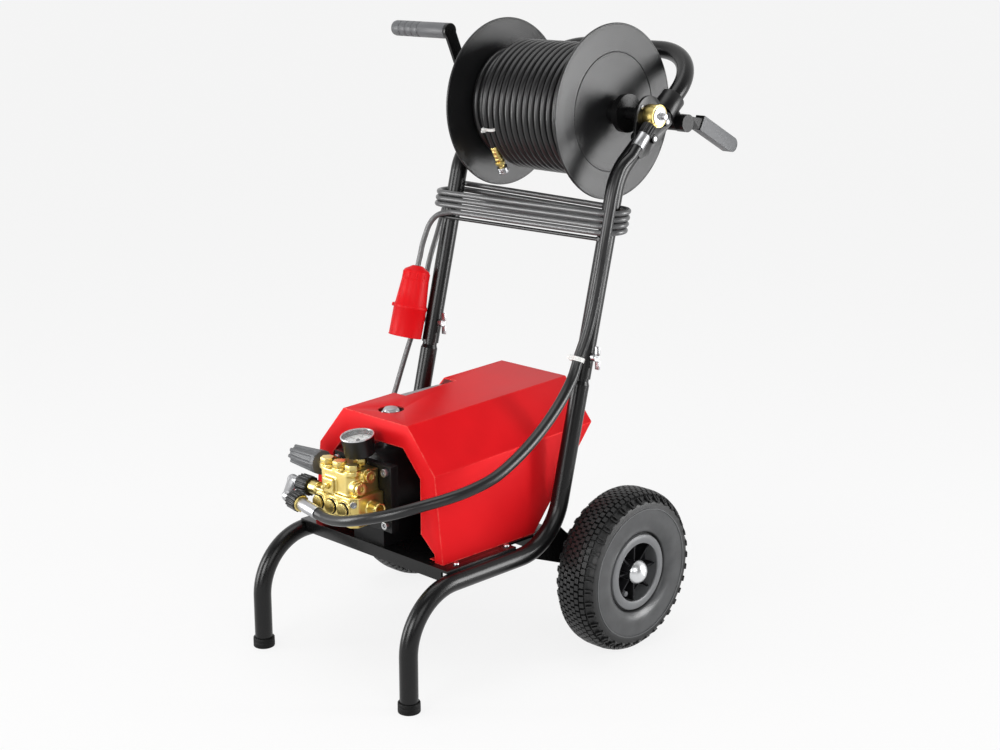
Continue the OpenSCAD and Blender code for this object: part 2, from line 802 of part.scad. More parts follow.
// Pump
module plunger_places() {
    for (a = plunger_angles) translate([plunger_ring * cos(a), 0, plunger_ring * sin(a)]) children();
}
module pump_crankcase() {
    flange_t = 14;
    foot = [68, 90];
    cavity = [-296, -211];
    cavity_r = 46;
    flange_h = crankcase_z[1] - crankcase_z[0];
    color("#15161a") difference() {
        union() {
            translate([pump_x - crankcase_half, crankcase_y[0], crankcase_z[0]])
                cube([2 * crankcase_half, flange_t, flange_h]);
            on_axis() along_y(crankcase_y[0] + flange_t - 4, crankcase_y[1], crankcase_r);
            translate([pump_x - foot[0] / 2, crankcase_y[0] + flange_t - 4, tray_top + 0.2])
                cube([foot[0], foot[1], crankcase_r - 10]);
        }
        on_axis() {
            along_y(cavity[0], cavity[1], cavity_r);
            plunger_places() along_y(crankcase_y[0] - 1, cavity[0] + 1, plunger_r + run_gap);
            translate([0, filler_y, cavity_r - 6]) cylinder(r = filler_stem_r + run_gap, h = 30);
        }
    }
}
module oil_filler() {
    stem = [48, 20];
    post = [60.4, 50];
    top = [10, 4];
    color("#b3b5b5") translate([pump_x, filler_y, pump_z]) {
        translate([0, 0, stem[0]]) cylinder(r = filler_stem_r, h = stem[1]);
        translate([0, 0, post[0]]) cylinder(r = filler_r, h = post[1]);
        translate([0, 0, post[0] + post[1]]) cylinder(r1 = filler_r, r2 = top[0], h = top[1]);
    }
}
module swash_plate() {
    hub = [20, -260, -232];
    disc = [38, 8];
    disc_y = -248;
    slant = 7;
    color("#8f9296") on_axis() difference() {
        union() {
            along_y(hub[1], hub[2], hub[0]);
            translate([0, disc_y, 0]) rotate([slant, 0, 0]) along_y(-disc[1] / 2, disc[1] / 2, disc[0]);
        }
        along_y(hub[1] - 3, hub[2] + 2, shaft_r + run_gap);
    }
}
module plunger(i) {
    a = plunger_angles[i];
    color("#e8e6df") on_axis() translate([plunger_ring * cos(a), 0, plunger_ring * sin(a)])
        along_y(plunger_y[0], plunger_y[1], plunger_r);
}
module plunger_top() {
    plunger(0);
}
module plunger_left() {
    plunger(1);
}
module plunger_right() {
    plunger(2);
}
module head_block(half, front_y, z0, z1) {
    back_y = flange_face_y - 0.2;
    translate([pump_x, 0, z0]) linear_extrude(z1 - z0)
        polygon([[-half, back_y], [-half, front_y + head_corner], [-half + head_corner, front_y],
            [half - head_corner, front_y], [half, front_y + head_corner], [half, back_y]]);
}
module pump_head() {
    seat_r = 12;
    boss_r = 13;
    side_boss = [-7, 5, 11.5];
    pad = [24, 22, 24];
    pad_from = [-30, head_front_y - 2, head_waist_z - 2];
    stub = [-6, 20];
    color("#c9a545") difference() {
        union() {
            head_block(head_foot_half, head_front_y, head_bottom, head_waist_z);
            head_block(head_half, head_front_y + head_step, head_waist_z - 1, head_top);
            for (x = valve_x) translate([pump_x + x, 0, 0]) {
                translate([0, valve_y, head_top - 4]) cylinder(r = seat_r, h = 8);
                translate([0, 0, front_plug_z])
                    along_y(head_front_y - boss_rise, head_front_y + 10, boss_r);
            }
            for (p = side_plugs) translate([pump_x + head_half, p[0], p[1]])
                along_x(side_boss[0], side_boss[1], side_boss[2]);
            translate(pad_from) cube(pad);
            translate([pump_x + head_foot_half, inlet_yz[0], inlet_yz[1]]) along_x(stub[0], stub[1], inlet_r);
            translate([0, outlet_yz[0], outlet_yz[1]])
                along_x(outlet_x, pump_x - head_foot_half + 4, outlet_r);
        }
        on_axis() plunger_places() along_y(plunger_y[0] - 10, flange_face_y + 1, plunger_r + run_gap);
        translate([pump_x + head_foot_half, inlet_yz[0], inlet_yz[1]])
            along_x(4, stub[1] + 1, inlet_r - 3.5);
        translate([gauge_at[0], gauge_at[1], head_top - 8]) cylinder(r = gauge_stem_r + run_gap, h = 20);
        translate([pump_x - head_half, unloader_yz[0], unloader_yz[1]])
            along_x(-1, 13, unloader_seat_r + run_gap);
    }
}
module valve_plugs() {
    hex = [11, 9];
    plug_rise = 4;
    side_rise = [5.2, 11];
    socket = [4.5, 5];
    color("#d0ae52") {
        for (x = valve_x) translate([pump_x + x, 0, 0]) {
            translate([0, valve_y, head_top + 4.2]) cylinder(r = hex[0], h = hex[1], $fn = 6);
            translate([0, head_front_y - boss_rise, front_plug_z]) along_y(-plug_rise, -0.2, front_plug_r);
        }
        for (p = side_plugs) translate([pump_x + head_half, p[0], p[1]]) difference() {
            along_x(side_rise[0], side_rise[1], side_plug_r);
            translate([side_rise[1] - socket[1] + 1, 0, 0]) lay_x()
                cylinder(r = socket[0], h = socket[1], $fn = 6);
        }
    }
}
module unloader_body() {
    collar = [15, 14];
    face_x = pump_x - head_half - 0.2;
    stem_in = 30;
    color("#c39c3c") translate([0, unloader_yz[0], unloader_yz[1]]) {
        along_x(face_x - collar[1], face_x, collar[0]);
        along_x(face_x - 1, face_x + 12, unloader_seat_r);
        along_x(unloader_knob_x[1] - stem_in, face_x - collar[1] + 4, unloader_stem_r);
    }
}
module unloader_knob() {
    knob_len = unloader_knob_x[1] - unloader_knob_x[0];
    core = [12.5, 17];
    rib_r = 3;
    ribs = 8;
    collar = [19, 9];
    bore = 32;
    cone = core[1] - core[0];
    color("#55585c") translate([unloader_knob_x[0], unloader_yz[0], unloader_yz[1]]) difference() {
        union() {
            lay_x() cylinder(r1 = core[0], r2 = core[1], h = knob_len);
            for (i = [0:ribs - 1]) rotate([360 * i / ribs, 0, 0]) aim([0, 0, core[0]], [knob_len, 0, cone])
                cylinder(r = rib_r, h = knob_len - 1);
            along_x(knob_len - collar[1], knob_len, collar[0]);
        }
        along_x(knob_len - bore, knob_len + 1, unloader_stem_r + run_gap);
    }
}
module on_gauge() {
    translate(gauge_at) rotate([gauge_tilt, 0, 0]) children();
}
module gauge_case() {
    pin_deep = 5;
    color("#1a1b1d") {
        on_gauge() difference() {
            cylinder(r = gauge_r, h = gauge_h);
            translate([0, 0, gauge_floor]) cylinder(r = gauge_r - gauge_wall, h = gauge_h);
            translate([0, 0, gauge_floor - pin_deep]) cylinder(r = needle_r + run_gap, h = pin_deep + 1);
        }
        translate([gauge_at[0], gauge_at[1], head_top - 7])
            cylinder(r = gauge_stem_r, h = gauge_at[2] + 2 - head_top + 7);
    }
}
module gauge_dial() {
    hole_r = 2.5;
    dial_t = 1;
    color("#f2f2ee") on_gauge() translate([0, 0, gauge_floor + 0.2]) difference() {
        cylinder(r = gauge_r - gauge_wall - 0.2, h = dial_t);
        translate([0, 0, -1]) cylinder(r = hole_r, h = dial_t + 2);
    }
}
module gauge_needle() {
    boss = [3, 1.2];
    hand = [2, 24, 1];
    tail = 6;
    hand_z = gauge_floor + 2;
    zero_turn = 225;
    color("#161616") on_gauge() {
        translate([0, 0, gauge_floor - 4]) cylinder(r = needle_r, h = 8);
        translate([0, 0, hand_z]) cylinder(r = boss[0], h = boss[1]);
        rotate(zero_turn) translate([-hand.x / 2, -tail, hand_z]) cube(hand);
    }
}
module gauge_lens() {
    lens_z = gauge_h - 4;
    lens_t = 2;
    color("#dfe8ea", 0.4) on_gauge() translate([0, 0, lens_z])
        cylinder(r = gauge_r - gauge_wall - 0.2, h = lens_t);
}

// Wheels, drawn about X with the outer face towards +X
tyre_mid_r = 94;
tyre_half_h = wheel_d / 2 - tyre_mid_r;
bead_r = 56.5;
bead_half = 24.5;
rim_lip_r = 61;
bead_top_r = rim_lip_r + 0.6;
function tyre_side(inset, a) = let (e = 0.62)
    [tyre_mid_r + (tyre_half_h - inset) * sign(sin(a)) * pow(abs(sin(a)), e),
        (tyre_w / 2 - inset) * sign(cos(a)) * pow(abs(cos(a)), e)];
module tyre() {
    wall = 9;
    side_from = -50;
    side_to = 230;
    lay_x() rotate_extrude() polygon(concat(
        [for (a = [side_from:10:side_to]) tyre_side(0, a)],
        [[bead_top_r, -bead_half], [bead_r, -bead_half], [bead_r, -bead_half + wall]],
        [for (a = [side_to:-10:side_from]) tyre_side(wall, a)],
        [[bead_r, bead_half - wall], [bead_r, bead_half], [bead_top_r, bead_half]]));
}
module rim() {
    spokes = 8;
    spoke = [22, 3];
    web_half = 3;
    hub_r = 17;
    face_r = 60;
    inner_r = 47;
    barrel_r = bead_r - 0.4;
    seat = bead_half + 0.5;
    lip = rim_face - 2;
    difference() {
        union() {
            lay_x() rotate_extrude() polygon([
                [inner_r, rim_face], [face_r, rim_face], [rim_lip_r, lip], [rim_lip_r, seat],
                [barrel_r, seat], [barrel_r, -seat], [rim_lip_r, -seat], [rim_lip_r, -lip],
                [face_r, -rim_face], [inner_r, -rim_face], [inner_r + 3, -seat], [inner_r + 3, seat]]);
            along_x(-hub_half, hub_half, hub_r);
            along_x(-web_half, web_half, inner_r + 5);
            for (i = [0:spokes - 1]) rotate([360 * i / spokes, 0, 0])
                translate([0, -spoke[1] / 2, hub_r - 3]) cube([spoke[0], spoke[1], inner_r - hub_r + 7]);
        }
        along_x(-rim_face - 1, rim_face + 1, axle_r + run_gap);
    }
}
module wheel_place(side) {
    translate([side * wheel_x, 0, axle_z]) rotate([0, 0, side > 0 ? 0 : 180]) children();
}
module tyre_right() {
    color("#2a2b2d") wheel_place(1) tyre();
}
module tyre_left() {
    color("#2a2b2d") wheel_place(-1) tyre();
}
module rim_right() {
    color("#5a5d60") wheel_place(1) rim();
}
module rim_left() {
    color("#5a5d60") wheel_place(-1) rim();
}

// Reel
module on_reel() {
    translate([0, reel_y, reel_z]) children();
}
module reel_flanges() {
    edge_r = 2;
    bead = [92.5, 1.1];
    color("#2c2e31") on_reel() both_sides() difference() {
        union() {
            along_x(reel_half - flange_t, reel_half, flange_r - edge_r / 2);
            lay_x() rotate_extrude() translate([flange_r - edge_r, reel_half - flange_t / 2])
                circle(r = edge_r);
            lay_x() rotate_extrude() translate([bead[0], reel_half]) circle(r = bead[1]);
        }
        along_x(reel_half - flange_t - 1, reel_half + 1, spindle_r + run_gap);
    }
}
module reel_core() {
    wall = 4;
    core_half = reel_half - flange_t - 0.2;
    color("#26282a") on_reel() difference() {
        along_x(-core_half, core_half, drum_r);
        along_x(-core_half + wall, core_half - wall, drum_r - wall);
        along_x(-core_half - 1, core_half + 1, spindle_r + run_gap);
    }
}
module reel_spindle() {
    nose = [7, 4];
    color("#3a3c3e") on_reel() {
        along_x(spindle_ends[0], spindle_ends[1], spindle_r);
        both_sides() {
            along_x(reel_half + 0.3, hub_disc_x[0] + 1, collar_r);
            along_x(hub_disc_x[0], hub_disc_x[1], hub_disc_r);
        }
        along_x(spindle_ends[0] - nose[1], spindle_ends[0] + 1, nose[0]);
    }
}
// Outer layer of hose: its last turn comes down the front of the reel
function winding_point(i) = let (
    turn = i / loop_rings,
    a = winding_end_angle - 360 * (hose_turns - turn))
    [winding_start_x - hose_pitch * turn, -winding_r * cos(a), -winding_r * sin(a)];
function winding_path() = let (
    turns = [for (i = [0:loop_rings * hose_turns]) winding_point(i)],
    last = len(turns) - 1)
    concat([turns[0] - heading(turns, 0) * jet_hose_d], turns,
        [turns[last] + heading(turns, last) * jet_hose_d]);
function winding_tip() = let (p = winding_path()) p[len(p) - 1];
function winding_out() = let (p = winding_path()) unit(p[len(p) - 1] - p[len(p) - 2]);
module hose_winding() {
    path = winding_path();
    echo(least_gap_in_winding = least_gap(path, 12, jet_hose_d));
    core_half = reel_half - flange_t - 0.5;
    color("#202124") on_reel() {
        cord(path, jet_r, loop_sides);
        difference() {
            along_x(-core_half, core_half, winding_core_r);
            along_x(-core_half - 1, core_half + 1, drum_r + 0.3);
        }
    }
}
module hose_end() {
    sleeve = 28;
    hex = 6;
    neck = 5;
    nut = 11;
    color("#c8a444") on_reel() aim(winding_tip() + winding_out() * 0.2, winding_out()) {
        cylinder(r = jet_r + 0.8, h = sleeve);
        translate([0, 0, sleeve]) cylinder(r = jet_r + 2.5, h = hex, $fn = 6);
        translate([0, 0, sleeve + hex]) cylinder(r = jet_r, h = neck);
        translate([0, 0, sleeve + hex + neck]) cylinder(r = jet_r + 3, h = nut);
    }
}
module crank_arm() {
    arm_w = 22;
    angle = atan2(crank_tip[1], crank_tip[0]);
    color("#17181a") on_reel() {
        difference() {
            side_plate(crank_x[0], crank_x[1]) {
                circle(d = arm_w + 10);
                rotate(angle) translate([0, -arm_w / 2]) square([crank_r, arm_w]);
                translate(crank_tip) circle(d = arm_w + 4);
            }
            along_x(crank_x[0] - 1, crank_x[1] + 1, spindle_r + run_gap);
        }
        translate([0, crank_tip[0], crank_tip[1]]) along_x(grip_x[0] + 8, crank_x[0] + 1, crank_pin_r);
    }
}
module crank_grip() {
    grooves = 4;
    grip_len = grip_x[1] - grip_x[0];
    color("#4b4e52") on_reel() translate([grip_x[0], crank_tip[0], crank_tip[1]]) difference() {
        lay_x() rotate_extrude() polygon([[0, 0], [grip_r - 4, 0], [grip_r - 1, 2], [grip_r, 6],
            [grip_r, grip_len], [0, grip_len]]);
        for (i = [1:grooves]) lay_x() rotate_extrude() translate([grip_r + 0.4, 6 + 15 * i]) circle(r = 1.6);
        along_x(6, grip_len + 1, crank_pin_r + run_gap);
    }
}

// Brake: a clamp on the handle carries a short cross shaft with the lever outside
module lever_clamp() {
    clamp_len = 34;
    wall = 6;
    color("#151515") difference() {
        union() {
            translate(handle_at(lever_t - clamp_len / 2, half_w)) rotate([handle_rise - 90, 0, 0])
                cylinder(r = tube_r + wall, h = clamp_len);
            translate([0, lever_pivot[0], lever_pivot[1]]) along_x(half_w - 24, lever_x[0] - 0.3, 13);
            side_plate(half_w - 14, lever_x[0] - 0.3)
                translate([handle_at(lever_t)[1], handle_at(lever_t)[2]])
                    rotate(handle_rise - 90) translate([0, -11]) square([30, 22]);
        }
        translate(handle_at(lever_t - clamp_len, half_w)) rotate([handle_rise - 90, 0, 0])
            cylinder(r = tube_r + run_gap, h = 2 * clamp_len);
        translate([0, lever_pivot[0], lever_pivot[1]])
            along_x(half_w - 30, lever_x[0] + 1, lever_shaft_r + run_gap);
    }
}
module brake_lever() {
    pad_turn = -27;
    pad_from = [222, 808];
    pad_len = 104;
    pad_h = 24;
    color("#8d9093") {
        translate([0, lever_pivot[0], lever_pivot[1]]) {
            along_x(reel_half + 6, lever_x[0] + 1, lever_shaft_r);
            along_x(reel_half + 2, reel_half + 7, 15);
            along_x(lever_x[0], lever_x[1], 14);
        }
        side_plate(lever_x[0] + 2, lever_x[1] - 2)
            polygon([[186, 822], [230, 813], [226, 799], [186, 799]]);
        side_plate(lever_x[0], lever_x[1]) translate(pad_from) rotate(pad_turn) {
            translate([0, -pad_h / 2]) square([pad_len - pad_h / 2, pad_h]);
            translate([pad_len - pad_h / 2, 0]) circle(d = pad_h);
        }
    }
}

// Mains lead: loops wound down round both uprights, from the back left to the front left
hank_bend = 3;
hank_r = hank_bend * lead_d;
hank_top = 691;
hank_loop = 4 * half_w + 2 * PI * hank_r;
straight_rings = 4;
arc_rings = 8;
// One point of a loop by its share of the way round, starting at the left of the back run
function hank_flat(s) = let (u = s % 1 * hank_loop, run = 2 * half_w, bend = PI * hank_r)
    u < run ? [u - half_w, hank_r] :
    u < run + bend ? let (a = 180 * (u - run) / bend) [half_w + hank_r * sin(a), hank_r * cos(a)] :
    u < 2 * run + bend ? [half_w - (u - run - bend), -hank_r] :
    let (a = 180 * (u - 2 * run - bend) / bend) [-half_w - hank_r * sin(a), -hank_r * cos(a)];
function hank_point(s) = let (f = hank_flat(s), z = hank_top - lead_pitch * s)
    [f[0], upright_y(z) + f[1], z];
// Shares of one loop at which rings stand: few on the runs, more round the posts
run_share = 2 * half_w / hank_loop;
bend_share = PI * hank_r / hank_loop;
loop_stops = concat([for (i = [0:straight_rings - 1]) run_share * i / straight_rings],
    [for (i = [0:arc_rings - 1]) run_share + bend_share * i / arc_rings],
    [for (i = [0:straight_rings - 1]) run_share + bend_share + run_share * i / straight_rings],
    [for (i = [0:arc_rings - 1]) 2 * run_share + bend_share + bend_share * i / arc_rings]);
hank_loops = 4;
hank_leave = 0.035;
hank_stop = hank_loops - bend_share - hank_leave;
function hank_path() = concat(
    [for (turn = [0:hank_loops - 1], stop = loop_stops) if (turn + stop < hank_stop) hank_point(turn + stop)],
    [hank_point(hank_stop)]);
module cable_hank() {
    path = hank_path();
    echo(least_gap_in_hank = least_gap(path, 12, lead_d));
    color("#2a2b2d") cord(path, lead_d / 2, loop_sides);
}
module cable_drop() {
    start = [gland_seat_x - gland_reach, gland_y, gland_z];
    first = hank_path()[0];
    straight = [lead_d, 0, 0];
    route = concat([start - straight], drop_route, [first - straight]);
    color("#2a2b2d") cord(concat([start], smooth_path(route, 3), [first]), lead_d / 2, 10);
}
module cable_tail() {
    path = hank_path();
    last = path[len(path) - 1];
    hang = unit(plug_foot - plug_top);
    route = concat([last], tail_route, [plug_top - hang * lead_d]);
    color("#2a2b2d") cord(concat(smooth_path(route, 3), [plug_top - hang * 0.2]), lead_d / 2, 10);
}
module on_plug() {
    aim(plug_top, plug_foot - plug_top) children();
}
plug_len = norm(plug_foot - plug_top);
plug_r = 28.5;
plug_outline = [[0, 0], [9, 0], [13, 3], [20, 7], [22, 11], [27, 66], [plug_r, 69]];
pin_angles = [0:72:288];
pin_ring = 12;
pin_r = 3;
module plug_body() {
    shroud = [25, 46];
    pin_deep = 16;
    color("#e02026") on_plug() difference() {
        rotate_extrude() polygon(concat(plug_outline, [[plug_r, plug_len], [0, plug_len]]));
        translate([0, 0, plug_len - shroud[1]]) cylinder(r = shroud[0], h = shroud[1] + 1);
        for (a = pin_angles) rotate(a) translate([pin_ring, 0, plug_len - shroud[1] - pin_deep])
            cylinder(r = pin_r + run_gap, h = pin_deep + 2);
    }
}
module plug_pins() {
    pin_len = 52;
    pin_from = 62;
    color("#c7c9ca") on_plug() for (a = pin_angles) rotate(a) translate([pin_ring, 0, plug_len - pin_from])
        cylinder(r = pin_r, h = pin_len);
}

module place() {
    translate(middle_shift) children();
}

place() frame_tube_right();
place() frame_tube_left();
place() handle_tube();
place() foot_caps();
place() tray();
place() fasteners();
place() axle_beam();
place() axle();
place() axle_caps();
place() cable_rest();
place() bearing_plates();
place() spindle_bushes();
place() swivel_body();
place() coupling_nuts();
place() hose_fittings();
place() supply_hose();
place() hood();
place() switch_box();
place() cable_gland();
place() switch_knob();
place() oil_filler();
place() motor_housing();
place() motor_shields();
place() fan_cowl();
place() stator();
place() motor_bearings();
place() rotor_shaft();
place() fan();
place() swash_plate();
place() pump_crankcase();
place() pump_head();
place() valve_plugs();
place() plunger_top();
place() plunger_left();
place() plunger_right();
place() unloader_body();
place() unloader_knob();
place() gauge_case();
place() gauge_dial();
place() gauge_needle();
place() gauge_lens();
place() tyre_right();
place() tyre_left();
place() rim_right();
place() rim_left();
place() reel_flanges();
place() reel_core();
place() reel_spindle();
place() hose_winding();
place() hose_end();
place() crank_arm();
place() crank_grip();
place() lever_clamp();
place() brake_lever();
place() cable_drop();
place() cable_hank();
place() cable_tail();
place() plug_body();
place() plug_pins();
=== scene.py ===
# %% [markdown]
# # Dressing a drain jetter
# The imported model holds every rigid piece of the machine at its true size, in metres. This lesson leaves
# those pieces where they are, gives each of them a finish, and builds the pieces that need more detail than a
# plain solid has: hose, lead, tyres, rims, folded sheet, castings and small fittings.

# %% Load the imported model
import json
import math

import bmesh
import bpy
from mathutils import Matrix, Vector

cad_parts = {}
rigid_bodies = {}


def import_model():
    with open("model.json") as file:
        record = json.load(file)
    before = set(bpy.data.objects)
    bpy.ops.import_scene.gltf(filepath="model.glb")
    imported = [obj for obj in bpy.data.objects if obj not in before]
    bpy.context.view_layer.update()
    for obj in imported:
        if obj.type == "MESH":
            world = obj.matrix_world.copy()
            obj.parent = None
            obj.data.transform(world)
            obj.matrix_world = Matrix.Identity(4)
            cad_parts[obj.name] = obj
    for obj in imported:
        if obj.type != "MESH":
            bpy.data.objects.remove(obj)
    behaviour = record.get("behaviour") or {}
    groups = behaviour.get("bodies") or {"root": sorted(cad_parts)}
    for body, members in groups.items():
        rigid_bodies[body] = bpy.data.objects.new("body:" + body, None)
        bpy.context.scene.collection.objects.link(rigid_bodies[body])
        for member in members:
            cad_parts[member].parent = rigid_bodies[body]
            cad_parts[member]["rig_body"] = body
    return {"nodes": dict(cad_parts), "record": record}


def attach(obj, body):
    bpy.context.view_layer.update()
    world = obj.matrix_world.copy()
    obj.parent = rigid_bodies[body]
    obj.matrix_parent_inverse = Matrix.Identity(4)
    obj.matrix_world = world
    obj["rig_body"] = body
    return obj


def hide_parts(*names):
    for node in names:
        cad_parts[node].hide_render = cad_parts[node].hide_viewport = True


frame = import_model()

scene = bpy.context.scene
nodes = frame["nodes"]
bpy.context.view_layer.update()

# %% [markdown]
# ## Camera
# The photograph was taken from the front right, a little above the hood, with a long lens. A camera that is
# fitted to the wheels, feet and reel gives the position below. The machine's own zero is on the ground under
# the middle of the axle, so `at` turns such millimetres into the model's metres.

# %% Camera
AXLE_MIDDLE_MM = Vector((26.5, 56.0, 0.0))
SENSOR_MM, LENS_MM = 36, 61.22
CAMERA_POINT, CAMERA_AIM = (1854.8, -1940.1, 1107.4), (-40.4, 2.45, 393.1)


def at(x, y, z):
    """A point in millimetres from the axle's middle on the ground, in the model's metres."""
    return (Vector((x, y, z)) + AXLE_MIDDLE_MM) / 1000


camera_data = bpy.data.cameras.new("camera")
camera_data.sensor_width, camera_data.lens = SENSOR_MM, LENS_MM
camera = bpy.data.objects.new("camera", camera_data)
scene.collection.objects.link(camera)
camera.location = at(*CAMERA_POINT)
camera.rotation_euler = (at(*CAMERA_AIM) - camera.location).to_track_quat("-Z", "Y").to_euler()
scene.camera = camera
print("camera at", [round(c, 3) for c in camera.location])

# %% [markdown]
# ## The three cords
# A cord is a fixed length of something that bends. Each is one curve through a few chosen points, with a
# round bevel for its thickness, because a curve keeps its own centreline and can be measured. The route
# points are the ones that the solids follow, so each cord lies exactly where its solid is.

# %% A smooth line through route points
def smooth(route, steps):
    """Points of a Catmull-Rom curve through the route's points."""
    route = [Vector(p) for p in route]
    line = []
    for i in range(len(route) - 1):
        a, b, c, d = (route[min(max(k, 0), len(route) - 1)] for k in (i - 1, i, i + 1, i + 2))
        for t in (k / steps for k in range(steps)):
            line.append(0.5 * (2 * b + (c - a) * t + (2 * a - 5 * b + 4 * c - d) * t * t
                               + (3 * b - a - 3 * c + d) * t ** 3))
    return line + [route[-1]]


def cord_along(name, line_mm, diameter_mm, body, finish, sides=5):
    """One open curve along a line, thickened to a round cord, riding on a body."""
    curve = bpy.data.curves.new(name, "CURVE")
    curve.dimensions = "3D"
    curve.bevel_depth = 1.0
    curve.bevel_resolution = sides
    curve.use_fill_caps = True
    spline = curve.splines.new("POLY")
    spline.points.add(len(line_mm) - 1)
    for point, p in zip(spline.points, line_mm):
        point.co, point.radius = (*at(*p), 1), diameter_mm / 2000
    made = bpy.data.objects.new(name, curve)
    scene.collection.objects.link(made)
    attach(made, body)
    made["dress"] = finish
    return made


def length_m(line_mm):
    return sum((b - a).length for a, b in zip(line_mm, line_mm[1:])) / 1000


# %% [markdown]
# ### Mains lead
# A 9 mm rubber lead comes out of a gland in the hood's far side, climbs beside the left upright, is wound
# four times round both uprights, and ends in the red plug. The loops are made by walking round a slot-shaped
# track that sinks by one lead's width each time round.

# %% Mains lead
LEAD_MM, LEAD_PITCH_MM, HANK_TOP_MM = 9, 9.6, 691
HALF_FRAME_MM, HANK_R_MM, LEAN = 170, 27, math.tan(math.radians(14))
RUN_MM, FOLD_MM = 2 * HALF_FRAME_MM, math.pi * HANK_R_MM
LOOP_MM = 2 * (RUN_MM + FOLD_MM)
PLUG_TOP, PLUG_FOOT = Vector((-190, -40, 562)), Vector((-192, -70, 446))
PLUG_WAY = (PLUG_FOOT - PLUG_TOP).normalized()
GLAND_MOUTH = Vector((-170.1, -97, 290))


def upright_y(z):
    return -16.5 + LEAN * (z - 500)


def hank_point(turns):
    """Where the lead is after some turns round the uprights, starting at the left of the back run."""
    u = turns % 1 * LOOP_MM
    z = HANK_TOP_MM - LEAD_PITCH_MM * turns
    loose = 1.2 * math.sin(5.1 * turns + 1.3 * int(turns))
    if u < RUN_MM:
        x, y = u - HALF_FRAME_MM, HANK_R_MM
    elif u < RUN_MM + FOLD_MM:
        a = (u - RUN_MM) / HANK_R_MM
        x, y = HALF_FRAME_MM + HANK_R_MM * math.sin(a), HANK_R_MM * math.cos(a)
    elif u < 2 * RUN_MM + FOLD_MM:
        x, y = HALF_FRAME_MM - (u - RUN_MM - FOLD_MM), -HANK_R_MM
    else:
        a = (u - 2 * RUN_MM - FOLD_MM) / HANK_R_MM
        x, y = -HALF_FRAME_MM - HANK_R_MM * math.sin(a), -HANK_R_MM * math.cos(a)
    share = max(0.0, 1 - (x / HALF_FRAME_MM) ** 2) ** 2
    return Vector((x, upright_y(z) + y + loose * share, z))


HANK_TURNS = 4 - FOLD_MM / LOOP_MM - 0.035
hank = [hank_point(HANK_TURNS * i / 600) for i in range(601)]
straight = Vector((LEAD_MM, 0, 0))
drop = [GLAND_MOUTH] + smooth(
    [GLAND_MOUTH - straight, (-196, -97, 294), (-208, -94, 307), (-212, -87, 325), (-212, -74, 353),
     (-211, -60, 388), (-209, -45, 426), (-206, -30, 463), (-204, -18, 500), (-203, -3, 560),
     (-204, 18, 607), (-206, 42, 659), (-201, 50, 675), (-188, 56, 687), hank[0] - straight], 5)
tail = smooth([hank[-1], (-152, -8.5, 652), (-164, -13.5, 649), (-174, -18, 641), (-181, -22.5, 629),
               (-185, -27, 613), (-188, -31.5, 596), (-189, -35.5, 579), PLUG_TOP - PLUG_WAY * LEAD_MM], 5)
lead_line = drop + hank + tail[1:] + [PLUG_TOP]
mains_lead = cord_along("mains_lead", lead_line, LEAD_MM, "trolley", "lead_rubber")
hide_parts("cable_drop", "cable_hank", "cable_tail")
print("mains lead", round(length_m(lead_line), 3), "m")

# %% [markdown]
# ### Supply hose
# A 17 mm pressure hose leaves the steel ferrule under the pump head, sweeps round the front corner of the
# hood, is tied to the right upright and ends in the ferrule below the brass swivel. It is held at both ends,
# so it goes from object to object.

# %% Supply hose
SUPPLY_MM = 17
ELBOW_OUT, OUTLET_WAY = Vector((-99, -402, 268)), Vector((0.985, -0.1, -0.08)).normalized()
SWIVEL_MIDDLE, PORT_WAY = Vector((202, 95, 829)), Vector((0, -1, -1)).normalized()
supply_start = ELBOW_OUT + OUTLET_WAY * 82.1
supply_stop = SWIVEL_MIDDLE + PORT_WAY * 62.1
supply_line = [supply_start] + smooth(
    [supply_start + OUTLET_WAY * SUPPLY_MM, (25, -416, 263), (60, -419, 271), (95, -412, 281), (130, -394, 292),
     (160, -365, 304), (182, -330, 313), (194, -292, 321), (199, -252, 331), (198, -210, 347), (195, -170, 366),
     (191, -132, 388), (187, -98, 413), (184, -70, 442), (183, -53, 475), (185, -40, 505), (186, -28, 540),
     (188, -19, 580), (191, -14, 615), (195, -11, 650), (197, -4, 690), (198, 4, 725), (199, 18, 756),
     supply_stop + PORT_WAY * SUPPLY_MM], 6) + [supply_stop]
supply_hose = cord_along("supply_hose_dressed", supply_line, SUPPLY_MM, "trolley", "hose_rubber", 8)
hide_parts("supply_hose")
length_m(supply_line)
print("supply hose", round(length_m(supply_line), 3), "m")

# %% [markdown]
# ### Jetting hose on its reel
# The reel carries a 12 mm hose. Its outer layer stops short of the left flange, so the layer below shows
# there. Both are one hose: it runs to the right under the outer layer, climbs at the right flange and comes
# back on top. Each point is an angle about the reel's axis, a radius and a place along the axis.

# %% Jetting hose
JET_MM, REEL_Y_MM, REEL_Z_MM = 12, 95, 829
OUTER_R_MM, OUTER_TURNS, OUTER_PITCH_MM, OUTER_X_MM = 98.5, 14, 12.6, 108
UNDER_R_MM, UNDER_TURNS, UNDER_X_MM = 85.2, 17.5, -109
END_ANGLE = 32
RINGS = 64


def on_reel(angle, radius, x):
    a = math.radians(angle)
    return Vector((x, REEL_Y_MM - radius * math.cos(a), REEL_Z_MM - radius * math.sin(a)))


def eased(t):
    return t * t * (3 - 2 * t)


